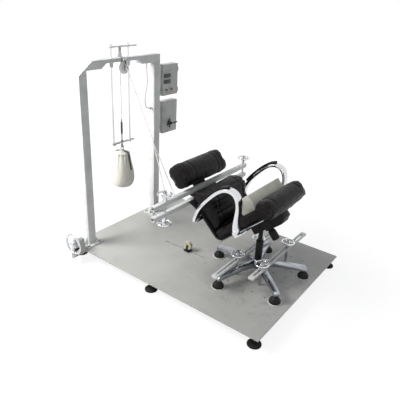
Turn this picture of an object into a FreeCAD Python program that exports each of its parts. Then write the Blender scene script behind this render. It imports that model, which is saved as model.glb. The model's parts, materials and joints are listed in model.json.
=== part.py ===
# Chair testing machine: a steel platform with a gantry at one end. A weight bag
# hangs from a guided carriage in the gantry, and its rope runs over a sheave to a
# clamp on the back of an office chair. Two slotted bars clamp the chair's star base
# to the platform. Sizes are millimetres.
import FreeCAD, Part
import Sketcher
import math
import os
import re

doc = FreeCAD.newDocument("chair_testing_machine")
sheet = doc.addObject("Spreadsheet::Sheet", "sizes")

# Driving sizes. X runs from the gantry to the chair, Y across, Z up. Places along X
# and Y are measured from the platform's near corner below the gantry, Z from the floor.
SIZES = [
    ("plate_length", 1640, "platform plate along X"),
    ("plate_width", 1200, "platform plate along Y"),
    ("plate_thick", 10, "platform plate"),
    ("plate_top", 85, "working surface above the floor"),
    ("slot_start", 510, "near end of the table slot along X"),
    ("slot_length", 384, "table slot"),
    ("slot_wide", 14, "table slot"),
    ("slot_y", 500, "middle of the table slot"),
    ("grid_pitch", 96, "spacing of the fixture holes"),
    ("grid_x", 1082, "first row of fixture holes"),
    ("grid_y", 382, "first column of fixture holes"),
    ("grid_hole", 6.5, "radius of a fixture hole"),
    ("frame_tube", 40, "square tube of the frame below"),
    ("frame_inset", 76, "plate edge to the frame"),
    ("foot_radius", 45, "rubber foot"),
    ("foot_high", 20, "rubber foot"),
    ("foot_inset", 45, "plate edge to a foot"),
    ("foot_stem", 8, "radius of the threaded stem"),
    ("nut_high", 13, "nut welded below the plate"),
    ("fit", 0.05, "radial running clearance"),
    ("seat_gap", 0.3, "gap where pieces rest on each other"),
    ("column_x", 70, "rear face of the columns"),
    ("column_deep", 51, "column along X"),
    ("column_wide", 66, "column along Y"),
    ("column_wall", 3, "column wall"),
    ("near_column_y", 60, "outer face of the near column"),
    ("gantry_wide", 787, "gantry over both columns"),
    ("gantry_top", 1433, "top of the beam"),
    ("beam_mid", 25, "beam depth at mid span"),
    ("beam_end", 58, "beam depth at its haunches"),
    ("haunch_run", 45, "slope of a haunch along Y"),
    ("haunch_flat", 130, "level underside beside a column"),
    ("corner_wide", 120, "cut corner along Y"),
    ("corner_high", 86, "cut corner along Z"),
    ("shoe_long", 140, "column base plate along Y"),
    ("shoe_wide", 120, "column base plate along X"),
    ("shoe_thick", 10, "column base plate"),
    ("shoe_bolt", 6, "radius of an anchor bolt"),
    ("shoe_bolt_inset", 16, "base plate edge to a bolt"),
    ("gusset_high", 60, "stiffener on the base plate"),
    ("carriage_y", 450, "middle of the weight carriage"),
    ("rod_pitch", 166, "between the guide rods"),
    ("rod_radius", 6, "guide rod"),
    ("bar_wide", 20, "carriage bars along X"),
    ("bar_high", 8, "carriage bars along Z"),
    ("top_bar_z", 1503, "underside of the top bar"),
    ("bottom_bar_z", 811, "underside of the bottom bar"),
    ("bar_reach", 92, "middle to the near ends of the bars"),
    ("top_bar_tail", 159, "middle to the far end of the top bar"),
    ("bottom_bar_tail", 125, "middle to the far end of the bottom bar"),
    ("rod_nut", 10, "nut on a guide rod"),
    ("bush_radius", 12, "guide bush"),
    ("bush_drop", 35, "guide bush below the beam"),
    ("ram_radius", 10, "rod of the lifting cylinder"),
    ("ram_body_radius", 15, "lifting cylinder"),
    ("ram_body_high", 22, "lifting cylinder above the beam"),
    ("ram_overlap", 14, "rod inside the cylinder at rest"),
    ("sheave_pitch", 34, "rope radius on the top sheave"),
    ("sheave_radius", 38, "top sheave rim"),
    ("sheave_wide", 16, "top sheave"),
    ("sheave_drop", 46, "beam underside to the sheave axle"),
    ("axle_radius", 5, "axle of the top sheave"),
    ("cheek_thick", 4, "cheeks of the sheave fork"),
    ("rope_radius", 3.5, "rope"),
    ("buckle_radius", 8, "turnbuckle body"),
    ("buckle_long", 90, "turnbuckle body"),
    ("buckle_rise", 60, "bottom bar to the turnbuckle body"),
    ("eye_radius", 10, "eye and ring centre line"),
    ("eye_wire", 3.5, "eye and ring wire"),
    ("ring_radius", 14, "bag ring centre line"),
    ("eye_drop", 26, "bottom bar to the middle of the eye"),
    ("bag_radius", 90, "weight bag at its widest"),
    ("bag_neck", 54, "weight bag at its shoulder"),
    ("bag_high", 300, "weight bag"),
    ("box_x", 60, "rear of the control boxes"),
    ("box_deep", 58, "control boxes along X"),
    ("box_gap", 35, "far column to the control boxes"),
    ("box_wide", 180, "control boxes along Y"),
    ("box_wall", 2, "sheet of the control boxes"),
    ("upper_box_z", 1105, "underside of the upper box"),
    ("upper_box_high", 242, "upper box"),
    ("lower_box_z", 795, "underside of the lower box"),
    ("lower_box_high", 262, "lower box"),
    ("door_thick", 3, "door of the upper box"),
    ("knuckle_radius", 4, "door hinge knuckle"),
    ("pin_radius", 2, "door hinge pin"),
    ("knuckle_high", 24, "door hinge knuckle"),
    ("display_wide", 80, "counter display"),
    ("display_high", 31, "counter display"),
    ("display_inset", 11, "box side to a display"),
    ("display_top", 72, "box top to the first display"),
    ("display_step", 46, "between the displays"),
    ("button_radius", 8, "push button"),
    ("button_stroke", 3, "push button"),
    ("button_stem", 4, "radius of the button's stem"),
    ("button_z", 45, "box underside to the push buttons"),
    ("button_inset", 42, "box side to the start button"),
    ("button_step", 60, "between the push buttons"),
    ("valve_inset", 78, "box side to the air valve"),
    ("valve_z", 80, "lower box underside to the air valve"),
    ("valve_radius", 14, "air valve body"),
    ("valve_long", 26, "air valve body"),
    ("lever_long", 130, "air valve lever"),
    ("hose_radius", 4, "air hose"),
    ("crank_x", 120, "axis of the corner handwheel"),
    ("crank_z", 160, "axis of the corner handwheel"),
    ("crank_ring", 74, "ring centre line of the corner handwheel"),
    ("crank_wire", 8, "ring of the corner handwheel"),
    ("crank_out", 85, "plate edge to the handwheel's middle"),
    ("crank_hub", 16, "hub of the corner handwheel"),
    ("crank_shaft", 8, "shaft of the corner handwheel"),
    ("crank_knob", 11, "crank knob"),
    ("crank_knob_long", 34, "crank knob"),
    ("bracket_out", 115, "corner bracket beyond the plate edge"),
    ("bracket_long", 150, "corner bracket along X"),
    ("bracket_thick", 8, "corner bracket"),
    ("block_wide", 62, "bearing block along X"),
    ("block_deep", 56, "bearing block along Y"),
    ("slider_x", 730, "slider in the table slot"),
    ("slider_long", 52, "slider base"),
    ("slider_wide", 44, "slider base"),
    ("slider_high", 10, "slider base"),
    ("pulley_radius", 34, "small sheave on the slider"),
    ("pulley_wide", 22, "small sheave on the slider"),
    ("pulley_axle", 4, "axle of the small sheave"),
    ("pulley_rise", 32, "slider base to the small sheave's axle"),
    ("chair_x", 1283, "axis of the gas lift"),
    ("chair_y", 583, "middle of the chair"),
    ("disc_radius", 47, "disc below a glide"),
    ("disc_high", 4, "disc below a glide"),
    ("glide_radius", 40, "glide"),
    ("glide_high", 50, "glide"),
    ("star_radius", 330, "gas lift to a glide"),
    ("star_turn", 33.5, "direction of the first leg"),
    ("star_top", 112, "flat top of the legs above the plate"),
    ("star_flat", 135, "flat top of a leg from the axis"),
    ("star_tip", 88, "leg tip above the plate"),
    ("leg_wide", 38, "star leg"),
    ("leg_deep", 30, "star leg at its tip"),
    ("hub_radius", 34, "star hub"),
    ("hub_high", 126, "star hub above the plate"),
    ("clamp_wide", 40, "slotted clamp bar"),
    ("clamp_thick", 16, "slotted clamp bar"),
    ("clamp_long", 805, "slotted clamp bar"),
    ("rear_clamp_y", 200, "near end of the rear clamp bar"),
    ("front_clamp_y", 340, "near end of the front clamp bar"),
    ("clamp_slot", 17, "slot in a clamp bar"),
    ("clamp_slot_inset", 45, "bar end to its slot"),
    ("stud_radius", 8, "threaded clamp stud"),
    ("stud_rise", 64, "stud above the clamp bar"),
    ("wheel_ring", 44, "ring centre line of a clamp handwheel"),
    ("wheel_wire", 6, "ring of a clamp handwheel"),
    ("wheel_hub", 15, "hub of a clamp handwheel"),
    ("wheel_high", 50, "hub of a clamp handwheel"),
    ("grip_wheel_high", 62, "hub of a back clamp handwheel"),
    ("wheel_spoke", 4.5, "spoke of a clamp handwheel"),
    ("lift_radius", 25, "outer tube of the gas lift"),
    ("lift_top", 271, "outer tube above the plate"),
    ("lift_rod", 14, "inner column of the gas lift"),
    ("pivot_rise", 385, "tilt pivot above the plate"),
    ("chair_tilt", 42, "chair leaning back, in degrees"),
    ("barrel_radius", 28, "tilt pivot barrel"),
    ("barrel_wide", 60, "tilt pivot barrel"),
    ("pivot_pin", 8, "tilt pivot pin"),
    ("carrier_front", 215, "tilt mechanism before the pivot"),
    ("carrier_rear", 60, "tilt mechanism behind the pivot"),
    ("carrier_cheek", 12, "cheeks of the tilt mechanism"),
    ("carrier_low", 43, "pivot to the underside of the mechanism"),
    ("pan_low", 42, "pivot to the underside of the seat shell"),
    ("pan_thick", 14, "seat shell"),
    ("pan_front", 235, "seat shell before the pivot"),
    ("pan_rear", 215, "seat shell behind the pivot"),
    ("shell_wide", 440, "seat and back shell"),
    ("shell_thick", 16, "back shell"),
    ("seat_wide", 480, "seat cushion"),
    ("seat_thick", 62, "seat cushion at its middle"),
    ("seat_nose", 294, "pivot to the front of the seat"),
    ("back_wide", 460, "back cushion"),
    ("head_wide", 490, "headrest"),
    ("head_x", 232, "pivot back to the middle of the headrest"),
    ("head_z", 566, "pivot up to the middle of the headrest"),
    ("head_deep", 72, "half depth of the headrest"),
    ("head_high", 90, "half height of the headrest"),
    ("neck_x", 286, "pivot back to the neck plate"),
    ("neck_z", 419, "pivot up to the neck plate"),
    ("neck_thick", 46, "neck plate"),
    ("neck_long", 72, "neck plate"),
    ("neck_wide", 240, "neck plate"),
    ("arm_out", 300, "middle of the chair to an arm"),
    ("arm_wide", 50, "arm loop"),
    ("arm_thick", 20, "arm loop"),
    ("arm_pad", 14, "arm pad"),
    ("knob_radius", 27, "tension knob"),
    ("knob_long", 82, "tension knob"),
    ("knob_x", 50, "tension knob before the pivot"),
    ("load_long", 400, "load block across the seat"),
    ("load_deep", 115, "load block along the seat"),
    ("load_high", 108, "load block"),
    ("load_x", 50, "pivot to the rear of the load block"),
    ("grip_bar", 30, "square tube of the back clamp"),
    ("grip_wall", 3, "wall of that tube"),
    ("grip_long", 1100, "back clamp bars"),
    ("grip_rod", 7, "threaded rod of the back clamp"),
    ("grip_near", 435, "middle of the chair to the near rod"),
    ("grip_far", 520, "middle of the chair to the far rod"),
    ("grip_rod_long", 246, "threaded rod of the back clamp"),
    ("strand_side", 333, "middle of the chair to the rope's second strand"),
    ("knot_side", 315, "middle of the chair to the rope's knot"),
    ("knot_back", 214, "upper bar to the knot along X"),
    ("knot_rise", 346, "upper bar to the knot along Z"),
]
ALIASES = {name for name, value, note in SIZES}
WORD = re.compile(r"[a-z_]+")

for row, (name, value, note) in enumerate(SIZES, start=1):
    sheet.set("A%d" % row, name)
    sheet.set("B%d" % row, str(value))
    sheet.setAlias("B%d" % row, name)
    sheet.set("C%d" % row, note)
doc.recompute()


def size(name):
    """The number in the sheet's cell of that name."""
    return float(sheet.get(name))


# Values that several pieces share, worked out from the driving sizes
MID_X = "(plate_length / 2)"
KNOB_TIP = "(crank_out + crank_wire + crank_knob_long)"
MID_Y = "((plate_width - %s) / 2)" % KNOB_TIP
RODS_X = "(column_x + column_deep / 2)"
FACE_X = "(column_x + column_deep)"
FAR_COLUMN_Y = "(near_column_y + gantry_wide - column_wide)"
BEAM_LOW = "(gantry_top - beam_mid)"
SHEAVE_X = "(%s + sheave_pitch)" % RODS_X
SHEAVE_Z = "(%s - sheave_drop)" % BEAM_LOW
EYE_Z = "(bottom_bar_z - eye_drop)"
RING_TOP_Z = "(%s - eye_radius + 2 * eye_wire + seat_gap)" % EYE_Z
BAG_TOP_Z = "(%s - 2 * ring_radius + 1)" % RING_TOP_Z
BOX_Y = "(near_column_y + gantry_wide + box_gap)"
BOX_FACE = "(box_x + box_deep)"
DOOR_X = "(%s + seat_gap)" % BOX_FACE
HINGE_X = "(%s + door_thick / 2)" % DOOR_X
HINGE_Y = "(%s + box_wide + knuckle_radius + 1)" % BOX_Y
CLAMP_Z = "(plate_top + star_top + seat_gap)"
CLAMP_TOP = "(%s + clamp_thick)" % CLAMP_Z
REAR_CLAMP_X = "(grid_x + grid_pitch)"
FRONT_CLAMP_X = "(grid_x + 3 * grid_pitch)"
STUD_NEAR_Y = "(grid_y + grid_pitch)"
STUD_FAR_Y = "(grid_y + 5 * grid_pitch)"
STUD_REAR_Y = "(grid_y + 4 * grid_pitch)"
PIVOT_Z = "(plate_top + pivot_rise)"
SEAT_Z = "(pan_low + pan_thick + seat_gap)"
SEAT_TOP = "(%s + seat_thick)" % SEAT_Z
GRIP_STEP = "(neck_thick / 2 + seat_gap + grip_bar / 2)"
UP = FreeCAD.Rotation()
ALONG_X = FreeCAD.Rotation(FreeCAD.Vector(0, 1, 0), 90)
ALONG_Y = FreeCAD.Rotation(FreeCAD.Vector(1, 0, 0), -90)
SIDE_PLANE = "XZ_Plane"
CROSS_PLANE = "YZ_Plane"
LEVEL_PLANE = "XY_Plane"


def bound(text):
    """An expression in which each size's name points at the sheet."""
    def lookup(found):
        word = found.group()
        return "sizes." + word if word in ALIASES else word
    return WORD.sub(lookup, str(text))


def bind(thing, **wanted):
    """Tie properties of an object to expressions in the sizes."""
    for prop, text in wanted.items():
        thing.setExpression(prop, bound(text))


def put(thing, at, turn=UP):
    """Place an object at three expressions, turned as asked."""
    thing.Placement = FreeCAD.Placement(FreeCAD.Vector(), turn)
    for axis, text in zip("xyz", at):
        thing.setExpression("Placement.Base." + axis, bound(text))
    return thing


def on_floor(x, y, z):
    """A place measured from the platform's corner, in the part's own frame."""
    return ("%s - %s" % (x, MID_X), "%s - %s" % (y, MID_Y), z)


def box(name, length, width, height, at, turn=UP):
    thing = doc.addObject("Part::Box", name)
    bind(thing, Length=length, Width=width, Height=height)
    return put(thing, at, turn)


def rod(name, radius, height, at, turn=UP):
    thing = doc.addObject("Part::Cylinder", name)
    bind(thing, Radius=radius, Height=height)
    return put(thing, at, turn)


def hexagon(name, radius, height, at, turn=UP):
    thing = doc.addObject("Part::Prism", name)
    thing.Polygon = 6
    bind(thing, Circumradius=radius, Height=height)
    return put(thing, at, turn)


def ring(name, radius, wire, at, turn=UP):
    thing = doc.addObject("Part::Torus", name)
    bind(thing, Radius1=radius, Radius2=wire)
    return put(thing, at, turn)


def group(name, things):
    """Separate solids under one name."""
    thing = doc.addObject("Part::Compound", name)
    thing.Links = things
    return thing


def fuse(name, things):
    thing = doc.addObject("Part::MultiFuse", name)
    thing.Shapes = things
    return thing


def cut(name, base, tools):
    thing = doc.addObject("Part::Cut", name)
    thing.Base = base
    thing.Tool = tools[0] if len(tools) == 1 else group(name + "_tools", tools)
    return thing


def outline(body, name, plane, points):
    """A closed sketch whose corners are tied to the sizes."""
    sketch = body.newObject("Sketcher::SketchObject", name)
    origin = [item for item in body.Origin.OriginFeatures if item.Role == plane][0]
    sketch.AttachmentSupport = (origin, [""])
    sketch.MapMode = "FlatFace"
    count = len(points)
    for index in range(count):
        turn = 2 * math.pi * index / count
        after = 2 * math.pi * (index + 1) / count
        start = FreeCAD.Vector(math.cos(turn), math.sin(turn), 0)
        end = FreeCAD.Vector(math.cos(after), math.sin(after), 0)
        sketch.addGeometry(Part.LineSegment(start, end), False)
    for index in range(count):
        joint = Sketcher.Constraint("Coincident", index, 2, (index + 1) % count, 1)
        sketch.addConstraint(joint)
    for index, corner in enumerate(points):
        for kind, text in zip(("DistanceX", "DistanceY"), corner):
            number = sketch.addConstraint(Sketcher.Constraint(kind, -1, 1, index, 1, 1.0))
            sketch.setExpression("Constraints[%d]" % number, bound(text))
    return sketch


def slab(name, plane, points, width):
    """A body padded to both sides of one of its own planes."""
    body = doc.addObject("PartDesign::Body", name)
    sketch = outline(body, name + "_sketch", plane, points)
    pad = body.newObject("PartDesign::Pad", name + "_pad")
    pad.Profile = sketch
    pad.SideType = "Symmetric"
    bind(pad, Length=width)
    body.Tip = pad
    return body


def turned(name, points):
    """A body of revolution about its own Z, from (radius, height) corners."""
    body = doc.addObject("PartDesign::Body", name)
    sketch = outline(body, name + "_sketch", SIDE_PLANE, points)
    turn = body.newObject("PartDesign::Revolution", name + "_turn")
    turn.Profile = sketch
    turn.ReferenceAxis = (sketch, ["V_Axis"])
    turn.Angle = 360
    body.Tip = turn
    return body


def node(name, thing):
    """Give a finished piece the name of its file."""
    thing.Label = name
    pieces.append(thing)
    return thing


pieces = []


# Platform

def make_platform():
    plate = box("plate_blank", "plate_length", "plate_width", "plate_thick",
                on_floor("0", "0", "plate_top - plate_thick"))
    under = "plate_top - plate_thick - 1"
    through = "plate_thick + 2"
    ends = [rod("slot_end", "slot_wide / 2", through, on_floor(x, "slot_y", under))
            for x in ("slot_start + slot_wide / 2", "slot_start + slot_length - slot_wide / 2")]
    slot = box("slot_middle", "slot_length - slot_wide", "slot_wide", through,
               on_floor("slot_start + slot_wide / 2", "slot_y - slot_wide / 2", under))
    holes = []
    for row in range(5):
        for column in range(7):
            stud = (row, column) in ((1, 1), (1, 4), (3, 1), (3, 5))
            radius = "stud_radius + fit" if stud else "grid_hole"
            place = on_floor("grid_x + %d * grid_pitch" % row,
                             "grid_y + %d * grid_pitch" % column, under)
            holes.append(rod("fixture_hole", radius, through, place))
    node("platform_plate", cut("platform_plate", plate, [fuse("slot", ends + [slot])] + holes))


def make_frame():
    low = "plate_top - plate_thick - frame_tube"
    long = "plate_length - 2 * frame_inset"
    wide = "plate_width - 2 * frame_inset"
    tubes = [box("frame_side", long, "frame_tube", "frame_tube", on_floor("frame_inset", y, low))
             for y in ("frame_inset", "plate_width - frame_inset - frame_tube")]
    for x in ("frame_inset", "plate_length / 2 + frame_tube",
              "plate_length - frame_inset - frame_tube"):
        tubes.append(box("frame_cross", "frame_tube", wide, "frame_tube",
                         on_floor(x, "frame_inset", low)))
    node("platform_frame", fuse("platform_frame", tubes))


def foot_places():
    return [(x, y) for x in ("foot_inset", "plate_length * 0.47", "plate_length - foot_inset")
            for y in ("foot_inset", "plate_width - foot_inset")]


def make_feet():
    stem_top = "plate_top - plate_thick - seat_gap"
    profile = [("0", "0"), ("foot_radius", "0"), ("foot_radius", "foot_high / 2"),
               ("foot_radius / 2", "foot_high"), ("foot_stem", "foot_high"),
               ("foot_stem", stem_top), ("0", stem_top)]
    feet = [put(turned("foot", profile), on_floor(x, y, "0")) for x, y in foot_places()]
    node("levelling_feet", group("levelling_feet", feet))


# Gantry

def make_column(name, y, top):
    """A square tube welded to a base plate with two stiffeners."""
    low = "plate_top + shoe_thick"
    high = "%s - plate_top - shoe_thick" % top
    mid_y = "(%s + column_wide / 2)" % y
    outer = box(name + "_tube", "column_deep", "column_wide", high, on_floor("column_x", y, low))
    hollow = box(name + "_hollow", "column_deep - 2 * column_wall", "column_wide - 2 * column_wall",
                 high + " + 2",
                 on_floor("column_x + column_wall", y + " + column_wall", low))
    parts = [box(name + "_shoe", "shoe_wide", "shoe_long", "shoe_thick",
                 on_floor(RODS_X + " - shoe_wide / 2", mid_y + " - shoe_long / 2", "plate_top"))]
    run = "((shoe_long - column_wide) / 2 - 6)"
    for side in (-1, 1):
        corners = [("0", "0"), ("%d * %s" % (side, run), "0"), ("0", "gusset_high")]
        edge = "%s + %d * (column_wide / 2 - 1)" % (mid_y, side)
        rib = slab("gusset", CROSS_PLANE, corners, "6")
        parts.append(put(rib, on_floor(RODS_X, edge, "plate_top + shoe_thick - 1")))
    holes = []
    for x, by in bolt_places(mid_y):
        holes.append(rod("shoe_hole", "shoe_bolt + fit", "shoe_thick + 2",
                         on_floor(x, by, "plate_top - 1")))
    node(name, cut(name, fuse(name + "_blank", [outer] + parts), [hollow] + holes))


def bolt_places(mid_y):
    """The four anchor bolts of a column."""
    return [("%s + %d * (shoe_wide / 2 - shoe_bolt_inset)" % (RODS_X, dx),
             "%s + %d * (shoe_long / 2 - shoe_bolt_inset)" % (mid_y, dy))
            for dx in (-1, 1) for dy in (-1, 1)]


def make_beam():
    inner_near = "near_column_y + column_wide"
    corners = [("near_column_y", "gantry_top - corner_high"),
               (inner_near, "gantry_top - corner_high"),
               (inner_near, "gantry_top - beam_end"),
               (inner_near + " + haunch_flat", "gantry_top - beam_end"),
               (inner_near + " + haunch_flat + haunch_run", BEAM_LOW),
               (FAR_COLUMN_Y + " - haunch_flat - haunch_run", BEAM_LOW),
               (FAR_COLUMN_Y + " - haunch_flat", "gantry_top - beam_end"),
               ("near_column_y + gantry_wide", "gantry_top - beam_end"),
               ("near_column_y + gantry_wide", "gantry_top"),
               ("near_column_y + corner_wide", "gantry_top")]
    beam = put(slab("beam_blank", CROSS_PLANE, corners, "column_deep"), on_floor(RODS_X, "0", "0"))
    holes = [rod("beam_hole", "bush_radius + fit", "beam_mid + 2",
                 on_floor(RODS_X, "carriage_y + %d * rod_pitch / 2" % side, BEAM_LOW + " - 1"))
             for side in (-1, 1)]
    holes.append(rod("beam_hole", "ram_body_radius + fit", "beam_mid + 2",
                     on_floor(RODS_X, "carriage_y", BEAM_LOW + " - 1")))
    node("top_beam", cut("top_beam", beam, holes))


def make_fasteners():
    """The nuts that the feet's stems screw through, and the columns' anchor bolts."""
    parts = []
    nut_z = "plate_top - plate_thick - nut_high"
    for x, y in foot_places():
        nut = hexagon("foot_nut", "foot_stem * 1.75", "nut_high", on_floor(x, y, nut_z))
        bore = rod("foot_nut_bore", "foot_stem + fit", "nut_high + 2",
                   on_floor(x, y, nut_z + " - 1"))
        parts.append(cut("foot_nut_ring", nut, [bore]))
    for y in ("near_column_y", FAR_COLUMN_Y):
        for x, by in bolt_places("(%s + column_wide / 2)" % y):
            head = hexagon("bolt_head", "shoe_bolt * 1.75", "shoe_bolt * 1.3",
                           on_floor(x, by, "plate_top + shoe_thick"))
            shank = rod("bolt_shank", "shoe_bolt", "shoe_thick", on_floor(x, by, "plate_top"))
            parts.append(fuse("anchor_bolt", [head, shank]))
    node("frame_fasteners", group("frame_fasteners", parts))


# Weight carriage

def make_bushes():
    bushes = []
    for side in (-1, 1):
        y = "carriage_y + %d * rod_pitch / 2" % side
        sleeve = rod("bush_sleeve", "bush_radius", "beam_mid + bush_drop",
                     on_floor(RODS_X, y, BEAM_LOW + " - bush_drop"))
        flange = rod("bush_flange", "bush_radius + 5", "5", on_floor(RODS_X, y, BEAM_LOW + " - 5"))
        bore = rod("bush_bore", "rod_radius + fit", "beam_mid + bush_drop + 2",
                   on_floor(RODS_X, y, BEAM_LOW + " - bush_drop - 1"))
        bushes.append(cut("guide_bush", fuse("bush_blank", [sleeve, flange]), [bore]))
    node("guide_bushes", group("guide_bushes", bushes))


def make_ram():
    sleeve = rod("ram_sleeve", "ram_body_radius", "beam_mid + ram_body_high",
                 on_floor(RODS_X, "carriage_y", BEAM_LOW))
    flange = hexagon("ram_flange", "ram_body_radius + 6", "8",
                     on_floor(RODS_X, "carriage_y", "gantry_top"))
    bore = rod("ram_bore", "ram_radius + fit", "beam_mid + ram_body_high + 2",
               on_floor(RODS_X, "carriage_y", BEAM_LOW + " - 1"))
    node("lifting_cylinder", cut("lifting_cylinder", fuse("ram_blank", [sleeve, flange]), [bore]))
    low = "gantry_top + ram_body_high - ram_overlap"
    node("cylinder_rod", rod("cylinder_rod", "ram_radius", "top_bar_z - (%s)" % low,
                             on_floor(RODS_X, "carriage_y", low)))


def make_carriage():
    guides = []
    low = "bottom_bar_z - rod_nut"
    high = "top_bar_z + bar_high + rod_nut + 8"
    for side in (-1, 1):
        y = "carriage_y + %d * rod_pitch / 2" % side
        shaft = rod("guide_shaft", "rod_radius", "%s - (%s)" % (high, low), on_floor(RODS_X, y, low))
        nuts = [hexagon("guide_nut", "rod_radius * 1.8", "rod_nut", on_floor(RODS_X, y, z))
                for z in (low, "bottom_bar_z + bar_high", "top_bar_z - rod_nut",
                          "top_bar_z + bar_high")]
        guides.append(fuse("guide_rod", [shaft] + nuts))
    node("guide_rods", group("guide_rods", guides))
    for name, z, tail in (("top_bar", "top_bar_z", "top_bar_tail"),
                          ("bottom_bar", "bottom_bar_z", "bottom_bar_tail")):
        blank = box(name + "_blank", "bar_wide", "bar_reach + " + tail, "bar_high",
                    on_floor(RODS_X + " - bar_wide / 2", "carriage_y - bar_reach", z))
        holes = [rod(name + "_hole", "rod_radius + fit", "bar_high + 2",
                     on_floor(RODS_X, "carriage_y + %d * rod_pitch / 2" % side, z + " - 1"))
                 for side in (-1, 1)]
        node(name, cut(name, blank, holes))


def make_hooks():
    top = "bottom_bar_z + bar_high"
    body_z = top + " + buckle_rise"
    shank = rod("buckle_stud", "4", "buckle_rise + 2", on_floor(RODS_X, "carriage_y", top))
    body = hexagon("buckle_body", "buckle_radius", "buckle_long",
                   on_floor(RODS_X, "carriage_y", body_z))
    upper = rod("buckle_end", "4", "22",
                on_floor(RODS_X, "carriage_y", body_z + " + buckle_long - 2"))
    collar = hexagon("buckle_nut", "9", "7", on_floor(RODS_X, "carriage_y", top))
    buckle = fuse("turnbuckle", [shank, body, upper, collar])
    stem = rod("eye_stem", "5", "eye_drop - eye_radius + 1",
               on_floor(RODS_X, "carriage_y", EYE_Z + " + eye_radius - 1"))
    eye = ring("eye_ring", "eye_radius", "eye_wire", on_floor(RODS_X, "carriage_y", EYE_Z),
               ALONG_Y)
    node("carriage_hooks", group("carriage_hooks", [buckle, fuse("bag_eye", [stem, eye])]))


def make_bag():
    high = "bag_high"
    profile = [("0", "0"), ("bag_radius * 0.55", "0"), ("bag_radius * 0.86", high + " * 0.06"),
               ("bag_radius", high + " * 0.2"), ("bag_radius * 0.99", high + " * 0.34"),
               ("bag_radius * 0.86", high + " * 0.6"), ("bag_neck", high + " * 0.9"),
               ("bag_neck * 0.85", high + " * 0.955"), ("12", high + " * 0.975"), ("12", high),
               ("0", high)]
    bag = put(turned("bag_body", profile), on_floor(RODS_X, "carriage_y", BAG_TOP_Z + " - bag_high"))
    loop = ring("bag_ring", "ring_radius", "eye_wire",
                on_floor(RODS_X, "carriage_y", RING_TOP_Z + " - ring_radius"), ALONG_X)
    node("weight_bag", fuse("weight_bag", [bag, loop]))


# Top sheave

def make_sheave():
    half = "sheave_wide / 2"
    profile = [("axle_radius + fit", "-%s" % half), ("sheave_radius", "-%s" % half),
               ("sheave_pitch - rope_radius - 0.5", "-4.6"),
               ("sheave_pitch - rope_radius - 0.5", "4.6"),
               ("sheave_radius", half), ("axle_radius + fit", half)]
    node("top_sheave", put(turned("top_sheave", profile),
                           on_floor(SHEAVE_X, "carriage_y", SHEAVE_Z), ALONG_Y))
    gap = "(sheave_wide / 2 + 1)"
    rear = RODS_X + " + 16"
    front = SHEAVE_X + " + 20"
    foot = SHEAVE_Z + " - 16"
    corners = [(rear, foot), (front, foot), (front, "gantry_top - 4"), (FACE_X, "gantry_top - 4"),
               (FACE_X, BEAM_LOW + " - seat_gap"), (rear, BEAM_LOW + " - seat_gap")]
    cheeks = [put(slab("sheave_cheek", SIDE_PLANE, corners, "cheek_thick"),
                  on_floor("0", "carriage_y + %d * (%s + cheek_thick / 2)" % (side, gap), "0"))
              for side in (-1, 1)]
    bridge = box("sheave_bridge", "6", "2 * (%s + cheek_thick)" % gap, "beam_mid - 4",
                 on_floor(FACE_X, "carriage_y - (%s + cheek_thick)" % gap, BEAM_LOW))
    axle = rod("sheave_axle", "axle_radius", "2 * (%s + cheek_thick + 3)" % gap,
               on_floor(SHEAVE_X, "carriage_y - (%s + cheek_thick + 3)" % gap, SHEAVE_Z), ALONG_Y)
    node("sheave_fork", fuse("sheave_fork", cheeks + [bridge, axle]))


# Control boxes

def make_upper_box():
    outer = box("upper_outer", "box_deep", "box_wide", "upper_box_high",
                on_floor("box_x", BOX_Y, "upper_box_z"))
    inner = box("upper_inner", "box_deep", "box_wide - 2 * box_wall",
                "upper_box_high - 2 * box_wall",
                on_floor("box_x + box_wall", BOX_Y + " + box_wall", "upper_box_z + box_wall"))
    shell = cut("upper_shell", outer, [inner])
    lugs = []
    for z in ("upper_box_z + 40", "upper_box_z + upper_box_high - 40"):
        side = BOX_Y + " + box_wide"
        leaf = box("lug_leaf", "11", "knuckle_radius + 1", "10",
                   on_floor(HINGE_X + " - 13", side, z + " - knuckle_high / 2 - 10 - seat_gap"))
        barrel = rod("lug_barrel", "knuckle_radius", "10",
                     on_floor(HINGE_X, HINGE_Y, z + " - knuckle_high / 2 - 10 - seat_gap"))
        pin = rod("lug_pin", "pin_radius", "knuckle_high + 10",
                  on_floor(HINGE_X, HINGE_Y, z + " - knuckle_high / 2 - 10"))
        lugs += [leaf, barrel, pin]
    node("upper_box", fuse("upper_box", [shell] + lugs))


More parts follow.
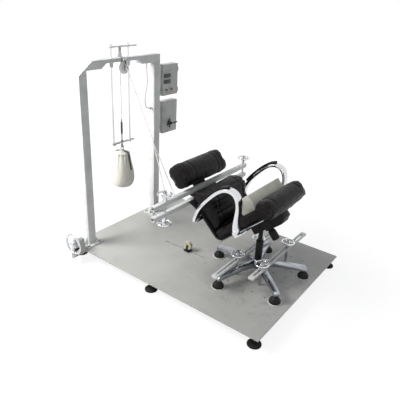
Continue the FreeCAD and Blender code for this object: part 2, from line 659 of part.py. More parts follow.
def make_upper_door():
    sheet_metal = box("door_sheet", "door_thick", "box_wide", "upper_box_high",
                      on_floor(DOOR_X, BOX_Y, "upper_box_z"))
    adds = [sheet_metal]
    cuts = []
    for z in ("upper_box_z + 40", "upper_box_z + upper_box_high - 40"):
        low = z + " - knuckle_high / 2"
        adds.append(box("door_tab", "door_thick", "knuckle_radius + 1", "knuckle_high",
                        on_floor(DOOR_X, BOX_Y + " + box_wide", low)))
        adds.append(rod("door_knuckle", "knuckle_radius", "knuckle_high",
                        on_floor(HINGE_X, HINGE_Y, low)))
        cuts.append(rod("door_bore", "pin_radius + fit", "knuckle_high + 2",
                        on_floor(HINGE_X, HINGE_Y, low + " - 1")))
    face = DOOR_X + " + door_thick"
    for step in range(2):
        y = BOX_Y + " + button_inset + %d * button_step" % step
        z = "upper_box_z + button_z"
        rim = rod("button_rim", "button_radius + 4", "button_stroke + 3",
                  on_floor(face + " - 1", y, z), ALONG_X)
        adds.append(rim)
        cuts.append(rod("button_well", "button_radius + 2 * fit", "button_stroke + 4",
                        on_floor(face, y, z), ALONG_X))
        cuts.append(rod("button_bore", "button_stem + fit", "door_thick + 2",
                        on_floor(DOOR_X + " - 1", y, z), ALONG_X))
        stem = rod("button_stem", "button_stem", "door_thick + button_stroke + 6",
                   on_floor(DOOR_X + " - 5", y, z), ALONG_X)
        cap = rod("button_cap", "button_radius", "6",
                  on_floor(face + " + button_stroke + seat_gap", y, z), ALONG_X)
        name = ("start_button", "stop_button")[step]
        node(name, fuse(name, [stem, cap]))
    displays = []
    for step in range(2):
        top = "upper_box_z + upper_box_high - display_top - %d * display_step" % step
        window = box("display_window", "door_thick + 2", "display_wide - 8", "display_high - 8",
                     on_floor(DOOR_X + " - 1", BOX_Y + " + display_inset + 4",
                              top + " - display_high + 4"))
        cuts.append(window)
        frame = box("display_frame", "4", "display_wide", "display_high",
                    on_floor(face, BOX_Y + " + display_inset", top + " - display_high"))
        back = box("display_back", "door_thick + 20", "display_wide - 8 - 2 * seat_gap",
                   "display_high - 8 - 2 * seat_gap",
                   on_floor(DOOR_X + " - 19", BOX_Y + " + display_inset + 4 + seat_gap",
                            top + " - display_high + 4 + seat_gap"))
        displays.append(fuse("counter_display", [frame, back]))
    node("upper_door", cut("upper_door", fuse("door_blank", adds), cuts))
    node("counter_displays", group("counter_displays", displays))


def make_lower_box():
    body = box("lower_blank", "box_deep + door_thick", "box_wide", "lower_box_high",
               on_floor("box_x", BOX_Y, "lower_box_z"))
    groove = box("lower_seam", "1", "box_wide + 2", "lower_box_high + 2",
                 on_floor(BOX_FACE, BOX_Y + " - 1", "lower_box_z - 1"))
    core = box("lower_core", "box_deep", "box_wide - 4", "lower_box_high - 4",
               on_floor("box_x + 2", BOX_Y + " + 2", "lower_box_z + 2"))
    node("lower_box", fuse("lower_box", [cut("lower_seamed", body, [groove]), core]))


def make_valve():
    y = "(%s + valve_inset)" % BOX_Y
    z = "(lower_box_z + valve_z)"
    face = "(%s + door_thick)" % BOX_FACE
    body = rod("valve_body", "valve_radius", "valve_long", on_floor(face, y, z), ALONG_X)
    flange = hexagon("valve_flange", "valve_radius + 4", "5", on_floor(face, y, z), ALONG_X)
    spindle = rod("valve_spindle", "4", "valve_long + 12", on_floor(face, y, z), ALONG_X)
    side = rod("valve_port", "6", "75", on_floor(face + " + 12", y, z + " - 38"))
    node("air_valve", fuse("air_valve", [body, flange, spindle, side]))
    front = face + " + valve_long + seat_gap"
    hub = rod("lever_hub", "9", "8", on_floor(front, y, z), ALONG_X)
    arm = box("lever_arm", "5", "lever_long", "10",
              on_floor(front + " + 2", y + " - 0.42 * lever_long", z + " - 5"))
    bore = rod("lever_bore", "4 + fit", "10", on_floor(front + " - 1", y, z), ALONG_X)
    node("valve_lever", cut("valve_lever", fuse("lever_blank", [hub, arm]), [bore]))


def make_box_brackets():
    start = "near_column_y + gantry_wide"
    straps = []
    for z in ("upper_box_z + 50", "upper_box_z + upper_box_high - 50",
              "lower_box_z + 50", "lower_box_z + lower_box_high - 50"):
        straps.append(box("box_strap", "30", BOX_Y + " - (%s)" % start, "6",
                          on_floor("column_x + 8", start, z)))
    node("box_brackets", group("box_brackets", straps))


# Rope and hose

def tube(points, radius):
    """Straight runs joined by tangent arcs, each as large as its runs allow."""
    corners = [FreeCAD.Vector(*point) for point in points]
    edges = []
    radii = []
    start = corners[0]
    for before, corner, after in zip(corners, corners[1:], corners[2:]):
        back = before - corner
        ahead = after - corner
        turn = math.pi - back.getAngle(ahead)
        reach = 0.45 * min(back.Length, ahead.Length)
        radii.append(reach / math.tan(turn / 2))
        enter = corner + back.normalize() * reach
        leave = corner + ahead.normalize() * reach
        depth = radii[-1] / math.cos(turn / 2) - radii[-1]
        middle = corner + (back + ahead).normalize() * depth
        edges.append(Part.LineSegment(start, enter).toShape())
        edges.append(Part.Arc(enter, middle, leave).toShape())
        start = leave
    edges.append(Part.LineSegment(start, corners[-1]).toShape())
    path = Part.Wire(edges)
    section = Part.Wire(Part.makeCircle(radius, corners[0], corners[1] - corners[0]))
    swept = path.makePipeShell([section], True, True)
    share = swept.Volume / (math.pi * radius ** 2 * path.Length)
    print("cord length %.0f mm, volume share %.3f, radii" % (path.Length, share),
          [round(value) for value in radii])
    return swept


def shift(x, y, z):
    """A place on the platform, in the part's own frame, as numbers."""
    tip = size("crank_out") + size("crank_wire") + size("crank_knob_long")
    return (x - size("plate_length") / 2, y - (size("plate_width") - tip) / 2, z)


def ropes_x():
    return size("column_x") + size("column_deep") / 2


def grip_point(side, rise):
    """The upper back clamp bar's middle at a distance across the chair."""
    step = size("neck_thick") / 2 + size("seat_gap") + size("grip_bar") / 2
    lean = math.radians(size("chair_tilt"))
    back = -size("neck_x")
    up = size("neck_z")
    x = back * math.cos(lean) - up * math.sin(lean)
    z = back * math.sin(lean) + up * math.cos(lean)
    base = size("plate_top") + size("pivot_rise")
    return (size("chair_x") + x, size("chair_y") + side, base + z + step + rise)


def make_ropes():
    x = ropes_x()
    y = size("carriage_y")
    axle_z = size("gantry_top") - size("beam_mid") - size("sheave_drop")
    low = size("bottom_bar_z") + size("bar_high") + size("buckle_rise") + size("buckle_long") + 20
    drop = Part.makeCylinder(size("rope_radius"), axle_z - low - size("seat_gap"),
                             FreeCAD.Vector(*shift(x, y, low + size("seat_gap"))))
    weight = doc.addObject("Part::Feature", "weight_rope")
    weight.Shape = drop
    node("weight_rope", weight)
    knot = FreeCAD.Vector(*shift(*grip_point(-size("knot_side"), size("knot_rise"))))
    knot.x -= size("knot_back")
    centre = FreeCAD.Vector(*shift(x + size("sheave_pitch"), y, axle_z))
    span = knot - centre
    away = math.hypot(span.x, span.z)
    lift = math.atan2(span.z, span.x) + math.acos(size("sheave_pitch") / away)
    leave = centre + FreeCAD.Vector(math.cos(lift), 0, math.sin(lift)) * (size("sheave_pitch") + 3)
    run = knot - leave
    pull = Part.makeCylinder(size("rope_radius"), run.Length + 1, leave, run)
    rod_end = size("grip_rod_long") / 2 - size("neck_thick") / 2 - size("grip_bar") / 2
    strands = []
    for side, rise in ((-size("grip_near"), rod_end), (-size("strand_side"), size("grip_bar") / 2)):
        foot = FreeCAD.Vector(*shift(*grip_point(side, rise + size("rope_radius"))))
        strand = foot - knot
        strands.append(Part.makeCylinder(size("rope_radius"), strand.Length, knot, strand))
    rope = doc.addObject("Part::Feature", "pull_rope")
    rope.Shape = pull.fuse(strands)
    node("pull_rope", rope)


# Each place on the hose: its distance from the far column and below the beam's haunch
HOSE_ROUTE = [(59, 7), (59, 53), (54, 105), (52, 160), (65, 210), (79, 263), (77, 313), (55, 345),
              (23, 354)]


def make_hose():
    near = size("near_column_y") + size("gantry_wide") - size("column_wide")
    top_z = size("gantry_top") - size("beam_end")
    hose = doc.addObject("Part::Feature", "air_hose")
    hose.Shape = tube([shift(ropes_x(), near - gap, top_z - drop) for gap, drop in HOSE_ROUTE],
                      size("hose_radius"))
    node("air_hose", hose)
    top = rod("fitting_top", "7", "7 - seat_gap",
              on_floor(RODS_X, FAR_COLUMN_Y + " - 59", "gantry_top - beam_end - 7 + seat_gap"))
    side = rod("fitting_side", "7", "21",
               on_floor(RODS_X, FAR_COLUMN_Y + " - 21", "gantry_top - beam_end - 354"), ALONG_Y)
    node("hose_fittings", group("hose_fittings", [top, side]))


# Corner handwheel

def make_corner():
    corners = [("0", "-5"), ("bracket_long - 20", "-bracket_out"),
               ("bracket_long", "-bracket_out"), ("bracket_long", "60"), ("80", "60"),
               ("80", "-5")]
    top = "(plate_top - plate_thick)"
    plate = put(slab("bracket_plate", LEVEL_PLANE, corners, "bracket_thick"),
                on_floor("0", "0", top + " - bracket_thick / 2"))
    rear = "crank_x - block_wide / 2"
    block = box("block_low", "block_wide", "block_deep", "crank_z - %s" % top,
                on_floor(rear, "-block_deep - 4", top))
    crown = rod("block_crown", "block_wide / 2 - 4", "block_deep",
                on_floor("crank_x", "-block_deep - 4", "crank_z"), ALONG_Y)
    bore = rod("block_bore", "crank_shaft + fit", "block_deep + 2",
               on_floor("crank_x", "-block_deep - 5", "crank_z"), ALONG_Y)
    housing = cut("bearing_block", fuse("block_blank", [block, crown]), [bore])
    node("corner_bracket", group("corner_bracket", [plate, housing]))


def make_crank():
    y = "-crank_out"
    parts = [ring("crank_ring", "crank_ring", "crank_wire", on_floor("crank_x", y, "crank_z"),
                  ALONG_Y)]
    parts.append(rod("crank_hub", "crank_hub", "24", on_floor("crank_x", y + " - 12", "crank_z"),
                     ALONG_Y))
    parts.append(rod("crank_shaft", "crank_shaft", "crank_out - 6",
                     on_floor("crank_x", y, "crank_z"), ALONG_Y))
    for angle in (76, 196, 316):
        turn = FreeCAD.Rotation(FreeCAD.Vector(0, 1, 0), 90 - angle)
        parts.append(rod("crank_spoke", "5", "crank_ring", on_floor("crank_x", y, "crank_z"), turn))
    stud = rod("knob_stud", "4", "crank_wire + crank_knob_long - 4",
               on_floor("crank_x + crank_ring", "-" + KNOB_TIP + " + 4", "crank_z"), ALONG_Y)
    parts.append(stud)
    node("corner_handwheel", fuse("corner_handwheel", parts))
    long = "(crank_knob_long - seat_gap)"
    profile = [("4 + fit", "4.5"), ("4 + fit", long), ("crank_knob * 0.6", long),
               ("crank_knob * 0.8", long + " * 0.5"), ("crank_knob", long + " * 0.2"),
               ("crank_knob * 0.7", "0"), ("0", "0"), ("0", "3.5"), ("4 + fit", "3.5")]
    knob = put(turned("crank_knob", profile),
               on_floor("crank_x + crank_ring", "-" + KNOB_TIP, "crank_z"), ALONG_Y)
    node("crank_knob", knob)


# Slider in the table slot

def make_slider():
    base = box("slider_base", "slider_long", "slider_wide", "slider_high",
               on_floor("slider_x - slider_long / 2", "slot_y - slider_wide / 2",
                        "plate_top + seat_gap"))
    tongue = box("slider_tongue", "slider_long * 0.48", "slot_wide - 2 * fit", "plate_thick - 1",
                 on_floor("slider_x - slider_long * 0.24", "slot_y - slot_wide / 2 + fit",
                          "plate_top - plate_thick + 1 + seat_gap"))
    gap = "(pulley_wide / 2 + 1)"
    axle_z = "(plate_top + seat_gap + slider_high + pulley_rise + 6)"
    cheeks = [box("slider_cheek", "14", "3", "pulley_rise + 12",
                  on_floor("slider_x - 7", "slot_y + %s" % offset,
                           "plate_top + seat_gap + slider_high - 1"))
              for offset in (gap, "(-pulley_wide / 2 - 4)")]
    axle = rod("slider_axle", "pulley_axle", "pulley_wide + 10",
               on_floor("slider_x", "slot_y - pulley_wide / 2 - 5", axle_z), ALONG_Y)
    node("slot_slider", fuse("slot_slider", [base, tongue, axle] + cheeks))
    half = "pulley_wide / 2"
    profile = [("pulley_axle + fit", "-" + half), ("pulley_radius", "-" + half),
               ("pulley_radius - 5", "-1"), ("pulley_radius - 5", "1"),
               ("pulley_radius", half), ("pulley_axle + fit", half)]
    node("slider_pulley", put(turned("slider_pulley", profile),
                              on_floor("slider_x", "slot_y", axle_z), ALONG_Y))


# Base clamps

def make_clamp_bars():
    bars = []
    for x, y in ((REAR_CLAMP_X, "rear_clamp_y"), (FRONT_CLAMP_X, "front_clamp_y")):
        blank = box("clamp_blank", "clamp_wide", "clamp_long", "clamp_thick",
                    on_floor(x + " - clamp_wide / 2", y, CLAMP_Z))
        slot = box("clamp_slot_box", "clamp_slot", "clamp_long - 2 * clamp_slot_inset",
                   "clamp_thick + 2",
                   on_floor(x + " - clamp_slot / 2", y + " + clamp_slot_inset", CLAMP_Z + " - 1"))
        ends = [rod("clamp_slot_end", "clamp_slot / 2", "clamp_thick + 2",
                    on_floor(x, y + " + " + end, CLAMP_Z + " - 1"))
                for end in ("clamp_slot_inset", "clamp_long - clamp_slot_inset")]
        bars.append(cut("clamp_bar", blank, [fuse("clamp_slot", [slot] + ends)]))
    node("base_clamp_bars", group("base_clamp_bars", bars))


def handwheel(name, bore, high):
    """A three-spoked handwheel about its own Z, with its hub's foot at zero."""
    middle = high + " - 10"
    parts = [ring(name + "_ring", "wheel_ring", "wheel_wire", ("0", "0", middle)),
             rod(name + "_hub", "wheel_hub", high, ("0", "0", "0"))]
    for step in range(3):
        turn = FreeCAD.Rotation(FreeCAD.Vector(0, 0, 1), 120 * step + 30)
        parts.append(rod(name + "_spoke", "wheel_spoke", "wheel_ring", ("0", "0", middle),
                         turn.multiply(ALONG_X)))
    blank = fuse(name + "_blank", parts)
    hole = rod(name + "_bore", bore + " + fit", high + " + 2", ("0", "0", "-1"))
    return cut(name, blank, [hole])


def make_base_clamps():
    places = [(REAR_CLAMP_X, STUD_NEAR_Y), (REAR_CLAMP_X, STUD_REAR_Y),
              (FRONT_CLAMP_X, STUD_NEAR_Y), (FRONT_CLAMP_X, STUD_FAR_Y)]
    studs = []
    for number, (x, y) in enumerate(places, start=1):
        studs.append(rod("clamp_stud", "stud_radius",
                         "%s + stud_rise - plate_top + plate_thick - 1" % CLAMP_TOP,
                         on_floor(x, y, "plate_top - plate_thick + 1")))
        wheel = handwheel("clamp_wheel_%d" % number, "stud_radius", "wheel_high")
        node(wheel.Name, put(wheel, on_floor(x, y, CLAMP_TOP + " + seat_gap")))
    node("clamp_studs", group("clamp_studs", studs))


# Chair base

def star_places():
    return [(math.radians(size("star_turn") + 72 * step)) for step in range(5)]


def make_star():
    hub = [("lift_radius + 0.5", "60"), ("hub_radius", "60"), ("hub_radius", "hub_high - 8"),
           ("hub_radius - 6", "hub_high"), ("lift_radius + 0.5", "hub_high")]
    legs = [turned("star_hub", hub)]
    corners = [("hub_radius - 4", "star_top - 40"), ("star_flat", "star_top - 36"),
               ("star_radius - 10", "star_tip - leg_deep"), ("star_radius + 16", "star_tip - leg_deep"),
               ("star_radius + 16", "star_tip - 8"), ("star_radius + 6", "star_tip"),
               ("star_flat", "star_top"), ("hub_radius - 4", "star_top")]
    for step in range(5):
        leg = slab("star_leg", SIDE_PLANE, corners, "leg_wide")
        turn = FreeCAD.Rotation(FreeCAD.Vector(0, 0, 1), 10)
        put(leg, ("0", "0", "0"), turn)
        leg.setExpression("Placement.Rotation.Angle", bound("star_turn + %d" % (72 * step)))
        legs.append(leg)
    star = fuse("star_base", legs)
    node("star_base", put(star, on_floor("chair_x", "chair_y", "plate_top")))


def make_glides():
    cup = [("0", "0"), ("glide_radius", "0"), ("glide_radius", "10"),
           ("glide_radius * 0.75", "glide_high * 0.55"), ("glide_radius * 0.4", "glide_high - 6"),
           ("glide_radius * 0.4", "glide_high"), ("0", "glide_high")]
    cups = []
    discs = []
    for step in range(5):
        turn = "star_turn + %d" % (72 * step)
        x = "chair_x + star_radius * cos(%s)" % turn
        y = "chair_y + star_radius * sin(%s)" % turn
        discs.append(rod("glide_disc", "disc_radius", "disc_high", on_floor(x, y, "plate_top")))
        cups.append(put(turned("glide_cup", cup), on_floor(x, y, "plate_top + disc_high + seat_gap")))
    node("glides", group("glides", cups))
    node("glide_discs", group("glide_discs", discs))


def make_lift():
    tube_low = "plate_top + 60"
    outer = rod("lift_tube", "lift_radius", "lift_top - 60", on_floor("chair_x", "chair_y", tube_low))
    inner = rod("lift_column", "lift_rod", "pivot_rise - lift_top",
                on_floor("chair_x", "chair_y", "plate_top + lift_top"))
    barrel = rod("tilt_barrel", "barrel_radius", "barrel_wide",
                 on_floor("chair_x", "chair_y - barrel_wide / 2", PIVOT_Z), ALONG_Y)
    reach = "(barrel_wide / 2 + seat_gap + carrier_cheek + 4)"
    pin = rod("tilt_pin", "pivot_pin", "2 * %s" % reach,
              on_floor("chair_x", "chair_y - %s" % reach, PIVOT_Z), ALONG_Y)
    node("gas_lift", fuse("gas_lift", [outer, inner, barrel, pin]))


# Chair top. Its pieces are drawn level about the tilt pivot and then leant back.

def lean(thing):
    """Lean a piece drawn about the pivot back to where the rope holds the chair."""
    turn = FreeCAD.Rotation(FreeCAD.Vector(0, -1, 0), 10)
    put(thing, on_floor("chair_x", "chair_y", PIVOT_Z), turn)
    thing.setExpression("Placement.Rotation.Angle", bound("chair_tilt"))
    return thing


def make_carrier():
    inner = "(barrel_wide / 2 + seat_gap)"
    top = "pan_low - seat_gap"
    parts = []
    for y in (inner, "(-%s - carrier_cheek)" % inner):
        parts.append(box("carrier_cheek", "carrier_rear + 42", "carrier_cheek", top + " + 30",
                         ("-carrier_rear", y, "-30")))
    parts.append(box("carrier_top", "carrier_rear + carrier_front",
                     "2 * (%s + carrier_cheek)" % inner, "8", ("-carrier_rear", "-%s - carrier_cheek"
                                                               % inner, top + " - 8")))
    corners = [("40", "-carrier_low"), ("carrier_front * 0.82", "-carrier_low"),
               ("carrier_front", "-carrier_low + 26"), ("carrier_front", top), ("40", top)]
    parts.append(slab("carrier_nose", SIDE_PLANE, corners, "2 * (%s + carrier_cheek)" % inner))
    bore = rod("carrier_bore", "pivot_pin + fit", "200", ("0", "-100", "0"), ALONG_Y)
    stem = rod("knob_stem", "6", "knob_long - 12",
               ("knob_x", "0", "-carrier_low - knob_long + 12"))
    body = cut("carrier_bored", fuse("carrier_blank", parts), [bore])
    node("tilt_mechanism", lean(fuse("tilt_mechanism", [body, stem])))
    low = "-carrier_low - knob_long"
    profile = [("6 + fit", low + " + 11"), ("6 + fit", "-carrier_low - seat_gap"),
               ("knob_radius * 0.7", "-carrier_low - seat_gap"), ("knob_radius", low + " + 60"),
               ("knob_radius", low + " + 10"), ("knob_radius * 0.8", low), ("0", low),
               ("0", low + " + 11")]
    knob = put(turned("knob_body", profile), ("knob_x", "0", "0"))
    node("tension_knob", lean(group("tension_knob", [knob])))


def make_shell():
    pan = box("seat_pan", "pan_front + pan_rear", "shell_wide", "pan_thick",
              ("-pan_rear", "-shell_wide / 2", "pan_low"))
    rear = [("-pan_rear", "pan_low"), ("-pan_rear - 10", "88"), ("-241", "299"), ("-276", "389")]
    front = [("-276 + shell_thick", "383"), ("-241 + shell_thick", "299"),
             ("-pan_rear - 10 + shell_thick", "88"), ("-pan_rear + 12", "pan_low + pan_thick"),
             ("-pan_rear + 12", "pan_low")]
    back = slab("back_panel", SIDE_PLANE, rear + front, "shell_wide")
    turn = FreeCAD.Rotation(FreeCAD.Vector(0, 1, 0), 10)
    neck = box("neck_plate", "neck_long", "neck_wide", "neck_thick", ("0", "0", "0"))
    cos = "cos(chair_tilt)"
    sin = "sin(chair_tilt)"
    put(neck, ("-neck_x - neck_long / 2 * %s - neck_thick / 2 * %s" % (cos, sin), "-neck_wide / 2",
               "neck_z + neck_long / 2 * %s - neck_thick / 2 * %s" % (sin, cos)), turn)
    neck.setExpression("Placement.Rotation.Angle", bound("chair_tilt"))
    post = box("head_post", "24", "neck_wide / 2", "head_z - neck_z - 30",
               ("-neck_x - 24", "-neck_wide / 4", "neck_z"))
    node("chair_shell", lean(fuse("chair_shell", [pan, back, neck, post])))


def rounded(name, plane_points, width, radius):
    """A padded block with its two side outlines rounded over."""
    body = slab(name, SIDE_PLANE, plane_points, width)
    doc.recompute()
    pad = body.Tip
    half = pad.Length.Value / 2
    edges = []
    for number, edge in enumerate(pad.Shape.Edges, start=1):
        low = edge.BoundBox.YMin
        high = edge.BoundBox.YMax
        if abs(abs(low) - half) < 0.01 and abs(low - high) < 0.01:
            edges.append("Edge%d" % number)
    soft = body.newObject("PartDesign::Fillet", name + "_soft")
    soft.Base = (pad, edges)
    bind(soft, Radius=radius)
    body.Tip = soft
    return body


def make_seat():
    corners = [("-196", SEAT_Z), ("pan_front + 4", SEAT_Z), ("pan_front + 8", SEAT_Z + " - 30"),
               ("seat_nose - 12", SEAT_Z + " - 26"), ("seat_nose + 4", SEAT_Z + " + 8"),
               ("seat_nose + 6", SEAT_TOP + " - 6"), ("seat_nose - 8", SEAT_TOP + " + 28"),
               ("seat_nose - 44", SEAT_TOP + " + 42"), ("seat_nose - 84", SEAT_TOP + " + 32"),
               ("load_x + load_deep + 8", SEAT_TOP), ("-120", SEAT_TOP), ("-196", SEAT_TOP + " + 6")]
    node("seat_cushion", lean(rounded("seat_cushion", corners, "seat_wide", "14")))


def make_back():
    corners = [("-pan_rear + 3.4", SEAT_TOP + " + 8"), ("-150", SEAT_TOP + " + 12"),
               ("-126", "190"), ("-120", "252"), ("-95", "290"), ("-86", "330"), ("-98", "372"),
               ("-135", "405"), ("-190", "430"), ("-225", "420"), ("-236", "388"),
               ("-241 + shell_thick + seat_gap + 0.1", "299")]
    node("back_cushion", lean(rounded("back_cushion", corners, "back_wide", "14")))


def make_headrest():
    corners = []
    for step in range(12):
        turn = math.radians(15 + 30 * step)
        across = math.copysign(abs(math.cos(turn)) ** 0.7, math.cos(turn))
        along = math.copysign(abs(math.sin(turn)) ** 0.7, math.sin(turn))
        corners.append(("-head_x + head_deep * %.4f" % across, "head_z + head_high * %.4f" % along))
    pad = rounded("head_pad", corners, "head_wide", "16")
    socket = box("head_socket", "24 + 2 * seat_gap", "neck_wide / 2 + 2 * seat_gap",
                 "head_high - 25 + seat_gap",
                 ("-neck_x - 24 - seat_gap", "-neck_wide / 4 - seat_gap", "head_z - head_high - 5"))
    node("headrest", lean(cut("headrest", pad, [socket])))


ARM_LINE = [(-226, 252), (-175, 286), (-100, 314), (-10, 328), (75, 332), (142, 314), (176, 268),
            (160, 205), (108, 150), (62, 108), (32, 68), (24, 36)]


def ribbon(low, high, y, wide, reach):
    """A band between two offsets from the arm's smooth line, pushed out across the chair."""
    curve = Part.BSplineCurve()
    curve.interpolate([FreeCAD.Vector(x, y, z) for x, z in ARM_LINE])
    middle = curve.toShape().discretize(44)
    upper = []
    lower = []
    for before, point, after in zip(middle[:1] + middle, middle, middle[1:] + middle[-1:]):
        if point.z < reach:
            continue
        run = (after - before).normalize()
        step = FreeCAD.Vector(-run.z, 0, run.x)
        upper.append(point + step * high)
        lower.append(point + step * low)
    loop = upper + lower[::-1]
    face = Part.Face(Part.makePolygon(loop + loop[:1]))
    return face.extrude(FreeCAD.Vector(0, wide, 0))


def make_arms():
    wide = size("arm_wide")
    half = size("arm_thick") / 2
    pads = []
    for name, side in (("near_arm", -1), ("far_arm", 1)):
        low = side * size("arm_out") - wide / 2
        band = ribbon(-half, half, low, wide, 0)
        inside = size("shell_wide") / 2
        reach = size("arm_out") - inside + 1
        foot_start = inside - 70 if side > 0 else -size("arm_out")
        foot = Part.makeBox(60, reach + 69, 10,
                            FreeCAD.Vector(-8, foot_start, size("pan_low") - 10.3))
        ear_start = inside + 0.3 if side > 0 else -size("arm_out")
        ear = Part.makeBox(12, reach - 1.3, 26, FreeCAD.Vector(-236, ear_start, 238))
        arm = doc.addObject("Part::Feature", name)
        arm.Shape = band.fuse([foot, ear])
        node(name, lean(arm))
        start = half + size("seat_gap")
        pads.append(ribbon(start, start + size("arm_pad"), low - 2, wide + 4, 306))
    pad = doc.addObject("Part::Feature", "arm_pads")
    pad.Shape = Part.makeCompound(pads)
    node("arm_pads", lean(pad))


def make_load():
    low = SEAT_TOP + " + seat_gap"
    block = box("load_bar", "load_deep", "load_long", "load_high", ("load_x", "-load_long / 2 + 15",
                                                                    low))
    node("load_block", lean(group("load_block", [block])))


def make_back_clamp():
    bars = []
    rods = []
    cos = "cos(chair_tilt)"
    sin = "sin(chair_tilt)"

    def along(y, rise):
        """A place on the line through both bars, as the tilted chair holds it."""
        return ("-neck_x + (%s) * %s" % (rise, sin), y, "neck_z + (%s) * %s" % (rise, cos))

    def upright(thing, place):
        put(thing, place, FreeCAD.Rotation(FreeCAD.Vector(0, 1, 0), 10))
        thing.setExpression("Placement.Rotation.Angle", bound("chair_tilt"))
        return thing

    rod_places = ("-grip_near", "grip_far")
    for sign in (-1, 1):
        centre = "%d * %s" % (sign, GRIP_STEP)
        outer = box("grip_outer", "grip_bar", "grip_long", "grip_bar",
                    ("-grip_bar / 2", "-grip_long / 2", "-grip_bar / 2"))
        inner = box("grip_inner", "grip_bar - 2 * grip_wall", "grip_long + 2",
                    "grip_bar - 2 * grip_wall",
                    ("-grip_bar / 2 + grip_wall", "-grip_long / 2 - 1",
                     "-grip_bar / 2 + grip_wall"))
        holes = [rod("grip_hole", "grip_rod + fit", "grip_bar + 2", ("0", y, "-grip_bar / 2 - 1"))
                 for y in rod_places]
        bar = cut("grip_tube", outer, [inner] + holes)
        bars.append(upright(bar, along("0", centre)))
    for y in rod_places:
        shaft = rod("grip_rod_shaft", "grip_rod", "grip_rod_long", ("0", "0", "0"))
        rods.append(upright(shaft, along(y, "-grip_rod_long / 2")))
    node("back_clamp_bars", lean(group("back_clamp_bars", bars)))
    nut = hexagon("grip_nut", "grip_rod * 1.8", "12", ("0", "0", "0"))
    hole = rod("grip_nut_bore", "grip_rod - 1", "14", ("0", "0", "-1"))
    under = cut("grip_nut_ring", nut, [hole])
    upright(under, along("grip_far", "-%s - grip_bar / 2 - 12" % GRIP_STEP))
    far_rod = fuse("grip_far_rod", [rods[1], under])
    node("back_clamp_rods", lean(group("back_clamp_rods", [rods[0], far_rod])))
    tops = [("-grip_near", 1), ("-grip_near", -1), ("grip_far", 1)]
    for number, (y, sign) in enumerate(tops, start=1):
        wheel = handwheel("grip_wheel_%d" % number, "grip_rod", "grip_wheel_high")
        if sign < 0:
            put(wheel, ("0", "0", "0"), FreeCAD.Rotation(FreeCAD.Vector(1, 0, 0), 180))
        holder = group("grip_wheel_%d_seat" % number, [wheel])
        rise = "%d * (%s + grip_bar / 2 + seat_gap)" % (sign, GRIP_STEP)
        upright(holder, along(y, rise))
        node("back_wheel_%d" % number, lean(group("back_wheel_%d" % number, [holder])))


make_platform()
make_frame()
make_feet()
make_column("near_column", "near_column_y", "(gantry_top - corner_high)")
make_column("far_column", FAR_COLUMN_Y, "(gantry_top - beam_end)")
make_beam()
make_fasteners()
make_bushes()
make_ram()
make_carriage()
make_hooks()
make_bag()
make_sheave()
make_upper_box()
make_upper_door()
make_lower_box()
make_valve()
make_box_brackets()
make_ropes()
make_hose()
make_corner()
make_crank()
make_slider()
make_clamp_bars()
make_base_clamps()
make_star()
make_glides()
make_lift()
make_carrier()
make_shell()
make_seat()
make_back()
make_headrest()
make_arms()
make_load()
make_back_clamp()
doc.recompute()

for thing in doc.Objects:
    if "Invalid" in thing.State or "Error" in thing.State:
        raise RuntimeError("%s did not build: %s" % (thing.Name, thing.State))
os.makedirs("parts", exist_ok=True)
for piece in pieces:
    shape = piece.Shape
    if shape.isNull() or not shape.isValid() or not shape.Solids:
        raise RuntimeError("%s has no valid solid" % piece.Label)
    shape.exportStep(os.path.join("parts", piece.Label + ".step"))
print(len(pieces), "pieces written")
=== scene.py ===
# %% [markdown]
# # A chair testing machine
# A weight bag hangs from a guided carriage in a gantry. Its rope runs over a sheave
# and pulls the back of an office chair that is clamped to a steel platform. The CAD
# model fixes every size and place, and this lesson dresses it: first the camera, then
# the finishes, then the soft and rounded pieces that the plain solids stand for.

# %% Load the frame
import json
import math

import bmesh
import bpy
from mathutils import Matrix, Vector, noise


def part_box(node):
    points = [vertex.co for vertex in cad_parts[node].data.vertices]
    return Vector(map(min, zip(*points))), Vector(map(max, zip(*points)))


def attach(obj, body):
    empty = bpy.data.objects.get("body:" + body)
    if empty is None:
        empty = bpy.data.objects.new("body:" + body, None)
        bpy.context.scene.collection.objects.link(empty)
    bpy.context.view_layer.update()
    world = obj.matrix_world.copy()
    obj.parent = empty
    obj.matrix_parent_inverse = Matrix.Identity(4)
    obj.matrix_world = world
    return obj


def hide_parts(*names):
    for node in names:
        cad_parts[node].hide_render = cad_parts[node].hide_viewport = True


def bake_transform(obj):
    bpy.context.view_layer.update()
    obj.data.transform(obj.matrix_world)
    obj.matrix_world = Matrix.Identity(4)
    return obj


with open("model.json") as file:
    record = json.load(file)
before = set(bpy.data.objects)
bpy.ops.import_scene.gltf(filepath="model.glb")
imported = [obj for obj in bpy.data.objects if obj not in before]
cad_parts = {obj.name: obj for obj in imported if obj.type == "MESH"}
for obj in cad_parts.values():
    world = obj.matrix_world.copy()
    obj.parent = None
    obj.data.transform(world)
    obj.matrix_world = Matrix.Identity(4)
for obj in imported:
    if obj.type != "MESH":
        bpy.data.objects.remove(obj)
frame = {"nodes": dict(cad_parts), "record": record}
scene = bpy.context.scene
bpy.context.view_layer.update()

# %% [markdown]
# ## The camera
# The camera stands where the photograph was taken: above the near corner on the
# chair's side, looking down at the gantry. Its three axes were worked out from the
# platform's edges and the upright columns, so they are written as vectors here. A
# camera looks along its own minus Z, so the third axis points back at the viewer.

